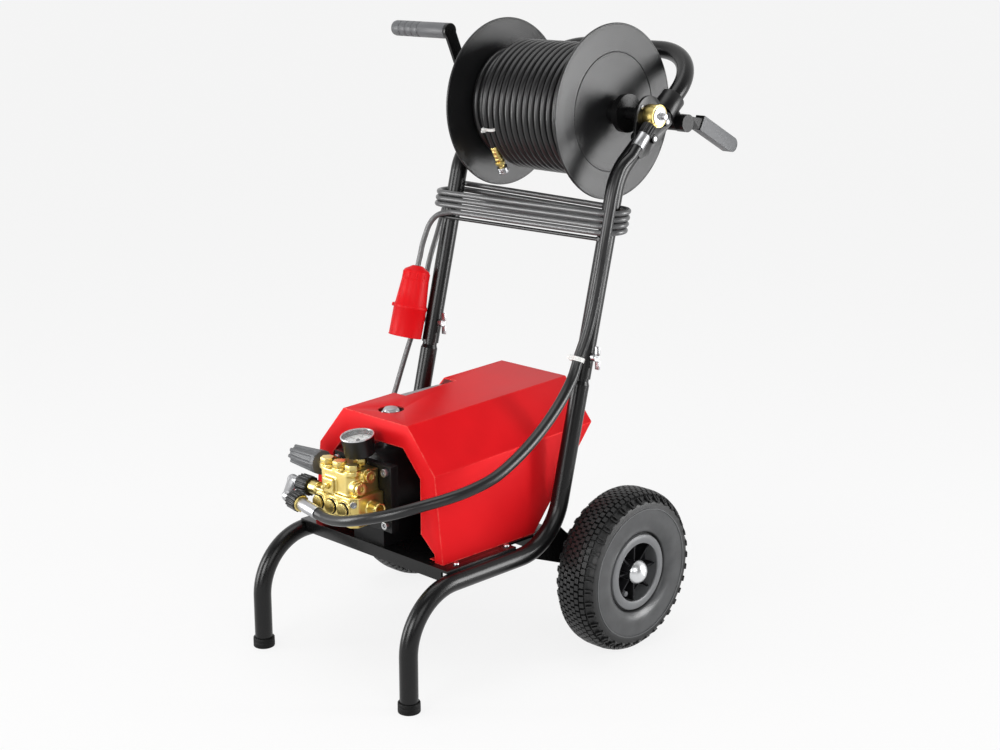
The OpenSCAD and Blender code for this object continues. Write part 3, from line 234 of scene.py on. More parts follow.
jet_line = []
first_angle = END_ANGLE - 90 - 360 * UNDER_TURNS
for i in range(int(RINGS * UNDER_TURNS)):
    turn = i / RINGS
    radius = UNDER_R_MM - 22 * (1 - eased(min(1, turn / 0.25)))
    x = UNDER_X_MM + (OUTER_X_MM + 0.5 - UNDER_X_MM) * turn / UNDER_TURNS
    jet_line.append(on_reel(first_angle + 360 * turn, radius, x))
for i in range(RINGS // 4):
    share = i / (RINGS // 4)
    radius = UNDER_R_MM + (OUTER_R_MM - UNDER_R_MM) * eased(share)
    jet_line.append(on_reel(END_ANGLE - 90 + 90 * share, radius, OUTER_X_MM + 0.5 * (1 - share)))
for i in range(RINGS * OUTER_TURNS + 1):
    turn = i / RINGS
    jet_line.append(on_reel(END_ANGLE + 360 * turn, OUTER_R_MM, OUTER_X_MM - OUTER_PITCH_MM * turn))
JET_WAY = (jet_line[-1] - jet_line[-2]).normalized()
jet_line.append(jet_line[-1] + JET_WAY * JET_MM)
JET_TIP = jet_line[-1]
jet_hose = cord_along("jetting_hose", jet_line, JET_MM, "reel", "hose_rubber", 4)
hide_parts("hose_winding")
print("jetting hose", round(length_m(jet_line), 2), "m")

# %% [markdown]
# ## Tools for meshes
# Every new piece is a bmesh that starts from an operator's shape or from a short outline that is spun. Local
# shapes are drawn in millimetres along Z, and `place` turns them to a direction and puts them where they
# belong, so that the finished object itself stays at the origin.

# %% Mesh tools
UP = Vector((0, 0, 1))


def place(point_mm, way=UP, turn=0.0):
    """Matrix that stands a shape drawn in millimetres along Z at a point, looking along a direction."""
    return (Matrix.Translation(at(*point_mm)) @ Vector(way).to_track_quat("Z", "Y").to_matrix().to_4x4()
            @ Matrix.Rotation(math.radians(turn), 4, "Z") @ Matrix.Scale(0.001, 4))


def spun(outline, steps=64, closed=False):
    """A bmesh of an outline of (radius, height) pairs, spun once round Z."""
    bm = bmesh.new()
    verts = [bm.verts.new((r, 0, z)) for r, z in outline]
    ring = zip(verts, verts[1:] + verts[:1]) if closed else zip(verts, verts[1:])
    edges = [bm.edges.new(pair) for pair in ring]
    bmesh.ops.spin(bm, geom=verts + edges, cent=(0, 0, 0), axis=UP, angle=2 * math.pi, steps=steps,
                   use_merge=True)
    bmesh.ops.remove_doubles(bm, verts=bm.verts, dist=1e-4)
    bmesh.ops.recalc_face_normals(bm, faces=bm.faces)
    return bm


def rounded(bm, width, segments=2, angle=30):
    """Bevels the edges of a bmesh that are sharper than an angle."""
    sharp = [e for e in bm.edges if len(e.link_faces) == 2 and e.calc_face_angle(0) > math.radians(angle)]
    bmesh.ops.bevel(bm, geom=sharp, offset=width, offset_type="OFFSET", segments=segments, profile=0.5,
                    affect="EDGES", clamp_overlap=True, material=-1)
    return bm


def block(size, width=0.0, middle=(0, 0, 0), segments=2):
    """A bmesh of a box with rounded edges."""
    bm = bmesh.new()
    bmesh.ops.create_cube(bm, size=1)
    bmesh.ops.scale(bm, vec=size, verts=bm.verts)
    if width:
        rounded(bm, width, segments)
    bmesh.ops.translate(bm, vec=middle, verts=bm.verts)
    return bm


def moved(bm, matrix):
    bmesh.ops.transform(bm, matrix=matrix, verts=bm.verts)
    return bm


def joined(parts):
    """One bmesh of several, each of which is used up."""
    whole = bmesh.new()
    for part in parts:
        mesh = bpy.data.meshes.new("part")
        part.to_mesh(mesh)
        part.free()
        whole.from_mesh(mesh)
        bpy.data.meshes.remove(mesh)
    return whole


def around(bm, count, angle=360.0):
    """Repeats all of a bmesh round Z."""
    step = angle / count
    bmesh.ops.spin(bm, geom=bm.verts[:] + bm.edges[:] + bm.faces[:], cent=(0, 0, 0), axis=UP,
                   angle=math.radians(step * (count - 1)), steps=count - 1, use_duplicate=True)
    return bm


def piece(name, bm, body, slot, replaced=(), smooth_angle=40, finish=None):
    """Makes a finished bmesh an object that rides on a body and takes a slot's finish, or one of its own."""
    mesh = bpy.data.meshes.new(name)
    bm.to_mesh(mesh)
    bm.free()
    for face in mesh.polygons:
        face.use_smooth = True
    mesh.set_sharp_from_angle(angle=math.radians(smooth_angle))
    made = bpy.data.objects.new(name, mesh)
    scene.collection.objects.link(made)
    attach(made, body)
    made["dress"] = finish or slot
    if replaced:
        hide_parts(*replaced)
    print(name, len(mesh.polygons), "faces on", body)
    return made


# %% [markdown]
# ## Hose end, plug and ties
# The jetting hose ends in a crimped brass sleeve, a hexagon and a plated swivel nut. The lead ends in the red
# industrial plug: a gland cap, a tapering grip, a collar and a shroud round its pins. White ties hold the
# hose end to the winding and the supply hose to the upright. Round pieces are spun; a tie is a circle that is
# stretched over what it holds.

# %% Hose end
def hexagon(across, low, high):
    """A six-sided bar, measured across its corners."""
    return rounded(spun([(0, low), (across / 2, low), (across / 2, high), (0, high)], 6), 0.5)


end_place = place(JET_TIP + JET_WAY * 0.2, JET_WAY)
CRIMPS_Z, GROOVES_Z = (4.5, 12, 19.5), (42.2, 45.6)
crimps = [p for z in CRIMPS_Z for p in ((6.8, z), (6.2, z + 0.7), (6.2, z + 2.1), (6.8, z + 2.8))]
sleeve = spun([(0, 0), (6.3, 0), (6.8, 0.6), *crimps, (6.8, 27), (6.2, 28), (5.6, 28), (5.6, 34), (5.2, 34.4),
               (5.2, 39.2), (0, 39.2)], 40)
end_sleeve = piece("hose_end_sleeve", moved(joined([sleeve, hexagon(17, 28, 34)]), end_place), "reel",
                   "brass", ["hose_end"])
grooves = [p for z in GROOVES_Z for p in ((9, z), (8.5, z + 0.5), (8.5, z + 1.3), (9, z + 1.8))]
nut = spun([(5.4, 39.3), (7.6, 39.2), (8.7, 39.9), (9, 40.8), *grooves, (9, 49.2), (8.3, 49.9), (6.6, 50),
            (6.2, 49.4), (6.2, 42), (5.4, 41)], 40, closed=True)
end_nut = piece("hose_end_nut", moved(nut, end_place), "reel", "steel")
length_m(jet_line)

# %% Plug
PLUG_MM = (PLUG_FOOT - PLUG_TOP).length
plug_place = place(PLUG_TOP, PLUG_WAY)
SOCKET_MM, CAP_RIBS, HOOK_TURN = 46, 10, 2.4
shell = spun([(4.7, 0), (8.4, 0), (9, 0.5), (12.4, 2.5), (13.2, 3.2), (19.2, 6.6), (20.6, 7.6), (21.6, 9.4),
              (22, 11), (22.9, 21), (23.2, 22.2), (22.7, 23.2), (22.9, 24), (24.4, 42), (26.6, 65),
              (27.8, 66.8), (28.5, 68.6), (28.5, 72.4), (27.7, 73.4), (27.7, PLUG_MM - 2),
              (28.3, PLUG_MM - 1.4), (28.3, PLUG_MM - 0.6), (27.6, PLUG_MM), (25.5, PLUG_MM),
              (25, PLUG_MM - 0.6), (25, PLUG_MM - SOCKET_MM), (0, PLUG_MM - SOCKET_MM)], 72)
cap_rib = block((2.2, 3.4, 9), 0.6, (22.2, 0, 15.6))
hook = moved(block((4, 9, 6), 1.2, (29, 0, 70)), Matrix.Rotation(HOOK_TURN, 4, "Z"))
plug = piece("plug_shell", moved(joined([shell, around(cap_rib, CAP_RIBS), hook]), plug_place), "trolley",
             "red_plastic", ["plug_body"])
length_m(lead_line)

# %% Ties
def tie(name, circles, width, matrix, body):
    """A flat band stretched over circles of (x, y, radius), with its locking head."""
    bm = bmesh.new()
    bmesh.ops.create_circle(bm, segments=72, radius=1)
    for vert in bm.verts:
        way = vert.co.normalized()
        x, y, r = max(circles, key=lambda c: way.x * c[0] + way.y * c[1] + c[2])
        vert.co = Vector((x, y, -width / 2)) + way * r
    rim = bmesh.ops.extrude_edge_only(bm, edges=bm.edges[:])["geom"]
    bmesh.ops.translate(bm, vec=(0, 0, width), verts=[v for v in rim if isinstance(v, bmesh.types.BMVert)])
    bmesh.ops.recalc_face_normals(bm, faces=bm.faces)
    bmesh.ops.solidify(bm, geom=bm.faces[:], thickness=-1.2)
    x, y, r = circles[0]
    head = block((6.5, 4.5, width + 2.5), 0.7, (x, y - r - 2.6, 0))
    stub = block((2.4, 9, width - 1), 0.3, (x + 1.2, y - r - 5, 0))
    return piece(name, moved(joined([bm, head, stub]), matrix), body, "light_plastic", finish="white_nylon")


TIE_BACK, CLIP_Z_MM = 13, 470
tie_angle = END_ANGLE - TIE_BACK
tie_x = OUTER_X_MM - OUTER_PITCH_MM * (OUTER_TURNS - TIE_BACK / 360)
tie_point = on_reel(tie_angle, OUTER_R_MM, tie_x)
tie_way = on_reel(tie_angle + 0.5, OUTER_R_MM, 0) - on_reel(tie_angle - 0.5, OUTER_R_MM, 0)
outward = Vector((0, tie_point.y - REEL_Y_MM, tie_point.z - REEL_Z_MM)).normalized()
tie_turn = Matrix((Vector((1, 0, 0)), -outward, tie_way.normalized())).transposed().to_4x4()
tie("hose_end_tie", [(0, 0, 6.1), (OUTER_PITCH_MM, 0, 6.1)], 4.5,
    Matrix.Translation(at(*tie_point)) @ tie_turn @ Matrix.Scale(0.001, 4), "reel")

clip_spot = min(range(len(supply_line)), key=lambda i: abs(supply_line[i].z - CLIP_Z_MM))
clip_way = supply_line[clip_spot + 1] - supply_line[clip_spot - 1]
tie("supply_hose_tie", [(0, 0, 8.6)], 7, place(supply_line[clip_spot], clip_way, 120), "trolley")

# %% [markdown]
# ## Wheels
# Each wheel has a pneumatic tyre with seven rows of small stepped blocks, lugs on its shoulders and a smooth
# wall with a thin raised ring, on a two-part plastic rim: a grey ring outside and a ribbed middle that is
# painted near black as the shade of its recess, with pale rib edges as a painted highlight. A tyre could be
# sculpted, but its section is the same all round, so the carcass is one spun outline, and each row of blocks
# is one block repeated by spin.

# %% Tyre
TYRE_MIDDLE_MM, TYRE_TALL_MM, TYRE_HALF_MM, TYRE_SQUARE = 94, 36, 37, 0.62
WHEEL_X_MM, WHEEL_R_MM = 234, 130
TREAD_MM, TREAD_ROW_MM, BLOCKS, LUGS = 4.6, 8.0, 72, 36
RIDGE = [(102.1, 0), (102.6, 1.1), (103.8, 1.1), (104.3, 0)]
BEAD = [(57, 24.4), (63, 24.4), (64, 25.6)]


def squared(value):
    return math.copysign(abs(value) ** TYRE_SQUARE, value)


def tyre_at(angle, inset=0.0):
    """Radius and height of the tyre's section at an angle round the middle of its wall."""
    a = math.radians(angle)
    return (TYRE_MIDDLE_MM + (TYRE_TALL_MM - inset) * squared(math.sin(a)),
            (TYRE_HALF_MM - inset) * squared(math.cos(a)))


def wall_angle(radius):
    return math.degrees(math.asin(((radius - TYRE_MIDDLE_MM) / TYRE_TALL_MM) ** (1 / TYRE_SQUARE)))


def tread_angle(height):
    return math.degrees(math.acos((height / TYRE_HALF_MM) ** (1 / TYRE_SQUARE)))


def both_faces(half):
    """A section that is the same on both faces of a wheel, from the half of it above the middle."""
    return [*[(r, -z) for r, z in reversed(half)], *half]


def carcass():
    """The tyre's body: beads, walls with their raised ring, and a crown sunk under the blocks."""
    wall = []
    for angle in range(-44, 91, 4):
        sunk = TREAD_MM * eased(min(1, max(0, (angle - 22) / 16)))
        wall.append(tyre_at(angle, sunk))
    ridge = [(r, tyre_at(wall_angle(r))[1] + up) for r, up in RIDGE]
    below = [p for p in wall if p[0] < RIDGE[0][0]]
    above = [p for p in wall if p[0] > RIDGE[-1][0]]
    return spun(both_faces([*BEAD, *below, *ridge, *above]), 96, closed=True)


def tread_block(along, across, height):
    """A block standing up Z, a little narrower at its top."""
    bm = bmesh.new()
    bmesh.ops.create_grid(bm, x_segments=1, y_segments=1, size=0.5)
    bmesh.ops.scale(bm, vec=(across, along, 1), verts=bm.verts)
    top = bmesh.ops.extrude_face_region(bm, geom=bm.faces[:])["geom"]
    verts = [v for v in top if isinstance(v, bmesh.types.BMVert)]
    bmesh.ops.translate(bm, vec=(0, 0, height), verts=verts)
    bmesh.ops.scale(bm, vec=(0.84, 0.84, 1), verts=verts)
    bmesh.ops.recalc_face_normals(bm, faces=bm.faces)
    return bm


def tread():
    """Seven rows of small blocks and two rows of shoulder lugs, each spun round the tyre."""
    rows = []
    for row in range(7):
        height = (row - 3) * TREAD_ROW_MM
        radius, z = tyre_at(tread_angle(abs(height)), TREAD_MM + 0.8)
        slope = math.copysign(math.radians((abs(height) / 23) ** 2 * 24), height)
        stand = (Matrix.Rotation(math.radians(360 / BLOCKS * (row % 2) / 2), 4, "Z")
                 @ Matrix.Translation((radius, 0, math.copysign(z, height)))
                 @ Matrix.Rotation(math.pi / 2 - slope, 4, "Y"))
        rows.append(around(moved(tread_block(9.4, 7.7, TREAD_MM + 0.7), stand), BLOCKS))
    for side in (1, -1):
        prongs = [block((13, 2.6, 4.2), 0.6, (0, y, 0)) for y in (3.1, -3.1)]
        lug = joined([*prongs, block((3.4, 8.8, 4.2), 0.6, (-4.8, 0, 0))])
        radius, z = tyre_at(33, 2.0)
        stand = (Matrix.Translation((radius, 0, side * z))
                 @ Matrix.Rotation(side * math.radians(52), 4, "Y"))
        rows.append(around(moved(lug, stand), LUGS))
    return joined(rows)


for side, name in ((1, "right"), (-1, "left")):
    wheel_place = place((side * WHEEL_X_MM, 0, WHEEL_R_MM), (side, 0, 0))
    piece(f"tyre_{name}_treaded", moved(joined([carcass(), tread()]), wheel_place), f"wheel_{name}",
          "tyre", [f"tyre_{name}"], 35)

# %% Rim
def rim_ring():
    """The grey ring that carries the tyre, rolled outwards at both faces."""
    half = [(56.1, 25), (61, 25.2), (61, 28.6), (60.3, 30.4), (58, 31.6), (53.5, 32), (49, 31.8), (47.4, 31),
            (47, 29), (50, 24)]
    return spun(both_faces(half), 96, closed=True)


def rim_middle():
    """Hub, web and eight ribs on each side of it."""
    half = [(49.9, 3.4), (17, 3.4), (17, 26.6), (15.6, 28), (10.06, 28)]
    hub = spun(both_faces(half), 72, closed=True)
    ribs = []
    for turn, middle in ((0, 12.5), (22.5, -12.5)):
        rib = moved(block((33, 2.6, 20), 0.5, (33, 0, middle)), Matrix.Rotation(math.radians(turn), 4, "Z"))
        ribs.append(around(rib, 8))
    return joined([hub, *ribs])


def valve():
    """Rubber foot, stem and cap of a tyre valve."""
    return spun([(0, 0), (6, 0), (5.6, 2.2), (4.2, 4), (3.6, 12), (3.1, 12.4), (3.1, 13.2), (4.4, 13.4),
                 (4.6, 14.2), (4.6, 22.6), (4, 23.8), (2.6, 24.2), (0, 24.2)], 24)


for side, name in ((1, "right"), (-1, "left")):
    centre = Vector((side * WHEEL_X_MM, 0, WHEEL_R_MM))
    wheel_place = place(centre, (side, 0, 0))
    piece(f"rim_{name}_ring", moved(rim_ring(), wheel_place), f"wheel_{name}", "grey_plastic",
          [f"rim_{name}"], finish="rim_grey")
    # the middle's near-black finish is painted shade for the rim's recess, and its pale rib edges are a painted
    # highlight
    piece(f"rim_{name}_middle", moved(rim_middle(), wheel_place), f"wheel_{name}", "black_plastic",
          finish="rim_black")
    foot = centre + Vector((side * 3, -24, -31))
    piece(f"valve_{name}", moved(valve(), place(foot, (side, 0, 0))), f"wheel_{name}", "grey_plastic")

# %% [markdown]
# ## Rounded copies of CAD pieces
# A CAD solid has knife-sharp edges, and a real fold, casting or moulding never has. For the pieces that show
# most, a copy of the node's mesh is merged, its flat triangles are dissolved into whole faces, and its sharp
# edges are bevelled. The copy then stands for the node, in the same place.

# %% Rounded copies
FOLD_LONG_M, FOLD_FROM, FOLD_TO = 0.1, math.radians(20), math.radians(75)


def softened(node, width_mm, segments=2, angle=28, folds_mm=0.0):
    """A copy of a CAD node with rounded edges; long shallow folds may have a wider radius of their own."""
    source = nodes[node]
    bm = bmesh.new()
    bm.from_mesh(source.data)
    bmesh.ops.remove_doubles(bm, verts=bm.verts, dist=5e-6)
    bmesh.ops.dissolve_limit(bm, angle_limit=math.radians(0.6), verts=bm.verts[:], edges=bm.edges[:])
    if folds_mm:
        folds = [e for e in bm.edges if len(e.link_faces) == 2 and e.is_convex
                 and e.calc_length() > FOLD_LONG_M and FOLD_FROM < e.calc_face_angle(0) < FOLD_TO]
        bmesh.ops.bevel(bm, geom=folds, offset=folds_mm / 1000, offset_type="OFFSET", segments=4,
                        profile=0.5, affect="EDGES", clamp_overlap=True, material=-1)
    rounded(bm, width_mm / 1000, segments, angle)
    slot = next(s["material_slot"] for s in frame["record"]["subparts"] if s["node"] == node)
    return piece(f"{node}_rounded", bm, source["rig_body"], slot, [node], angle)


SOFT_EDGES_MM = {"tray": 0.9, "pump_crankcase": 1.2, "switch_box": 1.0, "brake_lever": 1.2,
                 "lever_clamp": 0.9, "bearing_plates": 0.7, "crank_arm": 0.8, "axle_beam": 1.0,
                 "unloader_knob": 0.8, "swivel_body": 0.8, "valve_plugs": 0.5, "unloader_body": 0.6,
                 "coupling_nuts": 0.5, "hose_fittings": 0.5, "fasteners": 0.4, "oil_filler": 0.6,
                 "crank_grip": 0.6}
soft = {node: softened(node, width) for node, width in SOFT_EDGES_MM.items()}
soft["hood"] = softened("hood", 0.4, folds_mm=2.4, segments=2)

# %% [markdown]
# ### Cast pump head
# The brass head is a casting with bosses, and its inside corners are filleted as well as its edges. A bevel
# rounds only the edges, so this copy is cut into small even cells by a remesh and then smoothed, which fills
# the corners as wax does on a foundry pattern.

# %% Cast pump head
CELL_M, SETTLE_ROUNDS = 0.0011, 10
head = softened("pump_head", 0.6)
cells = head.modifiers.new("cells", "REMESH")
cells.mode, cells.voxel_size, cells.use_smooth_shade = "VOXEL", CELL_M, True
settle = head.modifiers.new("settle", "SMOOTH")
settle.factor, settle.iterations = 0.5, SETTLE_ROUNDS
print("pump head is cast")

# %% [markdown]
# ### Foot caps
# Each leg stands in a low moulded rubber cap with one groove round it, pushed over the end of the tube. The
# cap is round all the way, so its section is drawn once and spun; the hollow inside is drawn too, because the
# tube stands in it.

# %% Foot caps
FOOT_Y_MM = -403
cap_outline = [(0, 0), (15.6, 0), (16.6, 0.6), (17, 1.6), (17, 9), (16.5, 9.6), (16.5, 10.4), (17, 11),
               (16.8, 15), (16, 16), (14.1, 16), (14.1, 4), (0, 4)]
caps = [moved(spun(cap_outline, 48), place((side * HALF_FRAME_MM, FOOT_Y_MM, 0))) for side in (1, -1)]
piece("foot_caps_ribbed", joined(caps), "trolley", "black_rubber", ["foot_caps"])

# %% [markdown]
# ### Small fittings
# A grease nipple and a socket screw stand on the head, rubber rings seal its front plugs, a brass ring lies
# between nut and ferrule, the swivel ends in a steel cap with a nipple, and a screw holds each bearing's
# cover. Each is a short outline spun round its own axis. Two folded tabs screw the hood to the tray.

# %% Small fittings
FRONT, ASIDE = Vector((0, -1, 0)), Vector((1, 0, 0))
SWIVEL_END_X, COVER_SCREW_POINT, TAB_POINT = 209.2, Vector((189.3, 76.3, 843.2)), Vector((131, -299, 197.4))
NUT_END_MM = 36.3
NIPPLE_POINT, HEAD_SCREW_POINT, HEAD_SCREW_WAY = (-18, -390, 300), (33.5, -383.5, 281), (0.7, -0.7, 0)
SEALS_X, SEAL_Y, SEAL_Z = (-38, -10, 18), -391, 270
nipple = spun([(0, 3.4), (2.7, 3.4), (2.7, 7), (1.9, 8), (2.6, 9), (2.9, 10.2), (2.2, 11.4), (0, 11.8)], 24)
piece("grease_nipple", moved(joined([hexagon(10, 0, 3.6), nipple]), place(NIPPLE_POINT, FRONT)), "trolley",
      "brass")
screw = spun([(0, 0), (5.2, 0), (5.2, 5), (4.7, 5.6), (3.1, 5.6), (3.1, 2.4), (0, 2.4)], 28)
piece("head_screw", moved(screw, place(HEAD_SCREW_POINT, HEAD_SCREW_WAY)), "trolley", "steel")
seals = [moved(spun([(10.55, 0), (12.2, 0), (12.3, 0.5), (11.9, 1.1), (10.55, 1.3)], 40, closed=True),
               place((x, SEAL_Y, SEAL_Z), FRONT)) for x in SEALS_X]
piece("front_plug_seals", joined(seals), "trolley", "black_rubber")
collar = spun([(9.9, 0), (12, 0), (12.5, 0.6), (12.5, 2), (11.8, 2.7), (9.9, 2.7)], 40, closed=True)
piece("ferrule_ring", moved(collar, place(ELBOW_OUT + OUTLET_WAY * NUT_END_MM, OUTLET_WAY)), "trolley", "brass")
swivel_end = spun([(0, 0), (14.4, 0), (15, 0.6), (14.4, 1.6), (11.5, 2.2), (6.6, 2.4), (6.3, 4.4), (4.9, 5),
                   (4.7, 11.4), (3.8, 12.4), (0, 12.4)], 48)
piece("swivel_cap", moved(swivel_end, place((SWIVEL_END_X, REEL_Y_MM, REEL_Z_MM), ASIDE)), "trolley", "steel")
cover_screws, tabs = [], []
for side in (1, -1):
    mirror = Vector((side, 1, 1))
    dome = spun([(0, 0), (3.4, 0), (3.4, 1.2), (2.6, 2), (1.5, 2.2), (1.5, 1.2), (0, 1.2)], 24)
    cover_screws.append(moved(dome, place(COVER_SCREW_POINT * mirror, (side, 0, 0))))
    tabs.append(moved(block((27, 20, 1.6), 0.5), place(TAB_POINT * mirror)))
piece("plate_screws", joined(cover_screws), "trolley", "steel")
piece("hood_tabs", joined(tabs), "trolley", "hood_paint")

# %% [markdown]
# ## Gauge
# The gauge stands on a brass stem with a hexagon. Its black case flares up to a bright ring that holds the
# window. The white dial has a ring of marks and round numbers: marks are one small bar that is spun round the
# dial, and numbers are text that is made a mesh before it is placed.

# %% Gauge case
GAUGE_POINT, STEM_POINT, GAUGE_TILT = (0, -340, 343), (0, -340, 317), math.radians(9)
gauge_place = (Matrix.Translation(at(*GAUGE_POINT)) @ Matrix.Rotation(GAUGE_TILT, 4, "X")
               @ Matrix.Scale(0.001, 4))
case = spun([(0, 0), (22.2, 0), (23.2, 0.9), (24.9, 27.4), (25.3, 28.2), (25.3, 29), (24.05, 29),
             (24.05, 20.1), (1.65, 20.1), (1.65, 15.5), (0, 15.5)], 72)
piece("gauge_case_flared", moved(case, gauge_place), "trolley", "black_plastic", ["gauge_case"])
rim = spun([(24.1, 29.1), (25.9, 29.1), (26, 29.5), (26, 30.3), (25.4, 31), (24.6, 31), (24.1, 30.5)], 72,
           closed=True)
piece("gauge_rim", moved(rim, gauge_place), "trolley", "chrome")
stem = spun([(0, 0), (4.9, 0), (4.9, 8), (6, 8.6), (6, 26.4), (0, 26.4)], 32)
piece("gauge_stem", moved(joined([stem, hexagon(21, 10, 19)]), place(STEM_POINT)), "trolley", "brass")

# %% Gauge marks
DIAL_TOP_MM, FIGURE_R_MM, FIGURE_MM = 21.2, 13.6, 5.2
FINE_MARKS, COARSE_MARKS, LAST_MARK = 50, 6, math.radians(-45)
COARSE_STEP = 270 / (COARSE_MARKS - 1)
fine = around(block((2.4, 0.35, 0.2), 0, (20.6, 0, DIAL_TOP_MM + 0.15)), FINE_MARKS, 276)
coarse = around(block((4.2, 0.8, 0.24), 0, (19.8, 0, DIAL_TOP_MM + 0.15)), COARSE_MARKS,
                COARSE_STEP * COARSE_MARKS)
marks = moved(joined([fine, coarse]), Matrix.Rotation(LAST_MARK, 4, "Z"))
figures = []
for k in range(COARSE_MARKS):
    text = bpy.data.curves.new("figure", "FONT")
    text.body = str(50 * k)
    text.size = FIGURE_MM
    text.align_x = text.align_y = "CENTER"
    letter = bpy.data.objects.new("figure", text)
    mesh = bpy.data.meshes.new_from_object(letter)
    figure = bmesh.new()
    figure.from_mesh(mesh)
    a = LAST_MARK + math.radians(COARSE_STEP * (COARSE_MARKS - 1 - k))
    spot = (FIGURE_R_MM * math.cos(a), FIGURE_R_MM * math.sin(a), DIAL_TOP_MM + 0.2)
    figures.append(moved(figure, Matrix.Translation(spot)))
    bpy.data.meshes.remove(mesh)
    bpy.data.objects.remove(letter)
piece("gauge_marks", moved(joined([marks, *figures]), gauge_place), "trolley", "dial", finish="dial_print")

# %% [markdown]
# ## Finishes
# A finish is a small node tree. Writing it as sums keeps it readable, so one class wraps a socket and turns
# Python's operators into Math nodes, and one method adds any other node. All patterns read Object coordinates
# in metres, so a scale of 700 is a grain of about a millimetre and a half.

# %% Shader tools
class Value:
    """One socket; arithmetic on it adds Math nodes to its tree."""

    def __init__(self, tree, socket):
        self.tree, self.socket = tree, socket

    def meet(self, operation, *terms):
        return self.tree.node("ShaderNodeMath", {"operation": operation}, dict(enumerate(terms)))

    def __add__(self, other):
        return self.meet("ADD", self, other)

    def __radd__(self, other):
        return self.meet("ADD", other, self)

    def __sub__(self, other):
        return self.meet("SUBTRACT", self, other)

    def __rsub__(self, other):
        return self.meet("SUBTRACT", other, self)

    def __mul__(self, other):
        return self.meet("MULTIPLY", self, other)

    def __rmul__(self, other):
        return self.meet("MULTIPLY", other, self)

    def held(self):
        """The value kept between 0 and 1."""
        return self.tree.node("ShaderNodeClamp", {}, {0: self})


class Tree:
    """The emptied node tree of a material or a world."""

    def __init__(self, owner):
        self.owner = owner
        owner.use_nodes = True
        self.tree = owner.node_tree
        self.tree.nodes.clear()
        self.where = self.node("ShaderNodeTexCoord", {}, {}, "Object")

    def node(self, kind, settings=(), sockets=(), output=0):
        """Adds one node: its settings first, then the values or links of its sockets."""
        made = self.tree.nodes.new(kind)
        for key, value in dict(settings).items():
            if key == "stops":
                while len(made.color_ramp.elements) < len(value):
                    made.color_ramp.elements.new(1)
                for element, (position, colour) in zip(made.color_ramp.elements, value):
                    element.position, element.color = position, colour
            else:
                setattr(made, key, value)
        for key, value in dict(sockets).items():
            self.feed(made.inputs[key], value)
        return Value(self, made.outputs[output])

    def feed(self, socket, value):
        if isinstance(value, Value):
            self.tree.links.new(value.socket, socket)
        else:
            socket.default_value = value


class Finish(Tree):
    """A material's tree with a Principled shader, and the patterns that finishes are made of."""

    def __init__(self, name):
        super().__init__(bpy.data.materials.new(name))
        self.shader = self.tree.nodes.new("ShaderNodeBsdfPrincipled")
        self.output = self.tree.nodes.new("ShaderNodeOutputMaterial")
        self.tree.links.new(self.shader.outputs[0], self.output.inputs[0])

    def set(self, sockets):
        for key, value in sockets.items():
            self.feed(self.shader.inputs[key], value)
        return self

    def grain(self, scale, detail=2.0, stretch=(1, 1, 1)):
        """Noise of a number of cells a metre, which may be stretched."""
        where = self.node("ShaderNodeMapping", {"vector_type": "POINT"},
                          {"Scale": stretch, "Vector": self.where})
        return self.node("ShaderNodeTexNoise", {}, {"Vector": where, "Scale": scale, "Detail": detail})

    def blend(self, a, b, share):
        """One colour turning into another."""
        return self.node("ShaderNodeMix", {"data_type": "RGBA"}, {0: share, 6: (*a, 1), 7: (*b, 1)}, 2)

    def edges(self, radius):
        """1 on edges and 0 on open faces, by comparing the normal with one that is rounded off."""
        soft = self.node("ShaderNodeBevel", {"samples": 4}, {"Radius": radius})
        plain = self.node("ShaderNodeNewGeometry", {}, {}, "Normal")
        same = self.node("ShaderNodeVectorMath", {"operation": "DOT_PRODUCT"}, {0: soft, 1: plain}, "Value")
        return ((1 - same) * 6).held()

    def bump(self, height, distance, strength):
        return self.node("ShaderNodeBump", {}, {"Strength": strength, "Distance": distance, "Height": height})

    def from_axle(self, axle):
        """The distance from an axle that runs along X through a point."""
        flat = self.node("ShaderNodeMapping", {"vector_type": "POINT"},
                         {"Location": (0, -axle.y, -axle.z), "Scale": (0, 1, 1), "Vector": self.where})
        return self.node("ShaderNodeVectorMath", {"operation": "LENGTH"}, {0: flat}, "Value")


finishes = {}

# %% [markdown]
# ### Paints
# The frame has gloss black powder coat with a faint orange peel, the hood the same coat in red, and the
# reel's flanges a satin dark coat that shows how they were spun. On edges the coat is thinner and rubbed,
# and along the hood's folds the paler edge colour is also a painted highlight.

# %% Paints
def painted(name, colour, wear_and_highlight_colour, rough, peel, gloss, wear_and_highlight_share=0.5, cloud=0.04, flake=0.0, edge=0.0012):
    """Powder coat: orange peel, slow changes of gloss, and rubbed edges, which on the hood are also a painted
    highlight along the folds.
    """
    finish = Finish(name)
    slow, fine = finish.grain(9, 3), finish.grain(520, 2)
    edge_share = (finish.edges(edge) * (finish.grain(140, 4) * 2.2 - 0.7).held() * wear_and_highlight_share).held()
    tone = finish.blend(colour, [min(1, c * 1.2 + 0.002) for c in colour], (slow * 1.6 - 0.4).held())
    shade = finish.node("ShaderNodeMix", {"data_type": "RGBA"}, {0: edge_share, 6: tone, 7: (*wear_and_highlight_colour, 1)}, 2)
    finish.set({"Base Color": shade, "Roughness": rough + (slow - 0.5) * cloud * 2 + edge_share * 0.2,
                "Metallic": flake, "Specular IOR Level": gloss, "Normal": finish.bump(fine, 0.0006, peel)})
    finishes[name] = finish


painted("frame_paint", (0.003, 0.003, 0.0032), (0.05, 0.05, 0.052), 0.27, 0.04, 0.32)
# painted highlight: the hood's pale edge colour on a wide edge band draws bright lines along its folds, partly
# also wear
painted("hood_paint", (0.70, 0.008, 0.012), (0.95, 0.26, 0.2), 0.4, 0.10, 0.06, 0.8, 0.05, 0.1, 0.0032)
painted("machine_paint", (0.004, 0.004, 0.0045), (0.07, 0.07, 0.07), 0.42, 0.4, 0.22, 0.6)


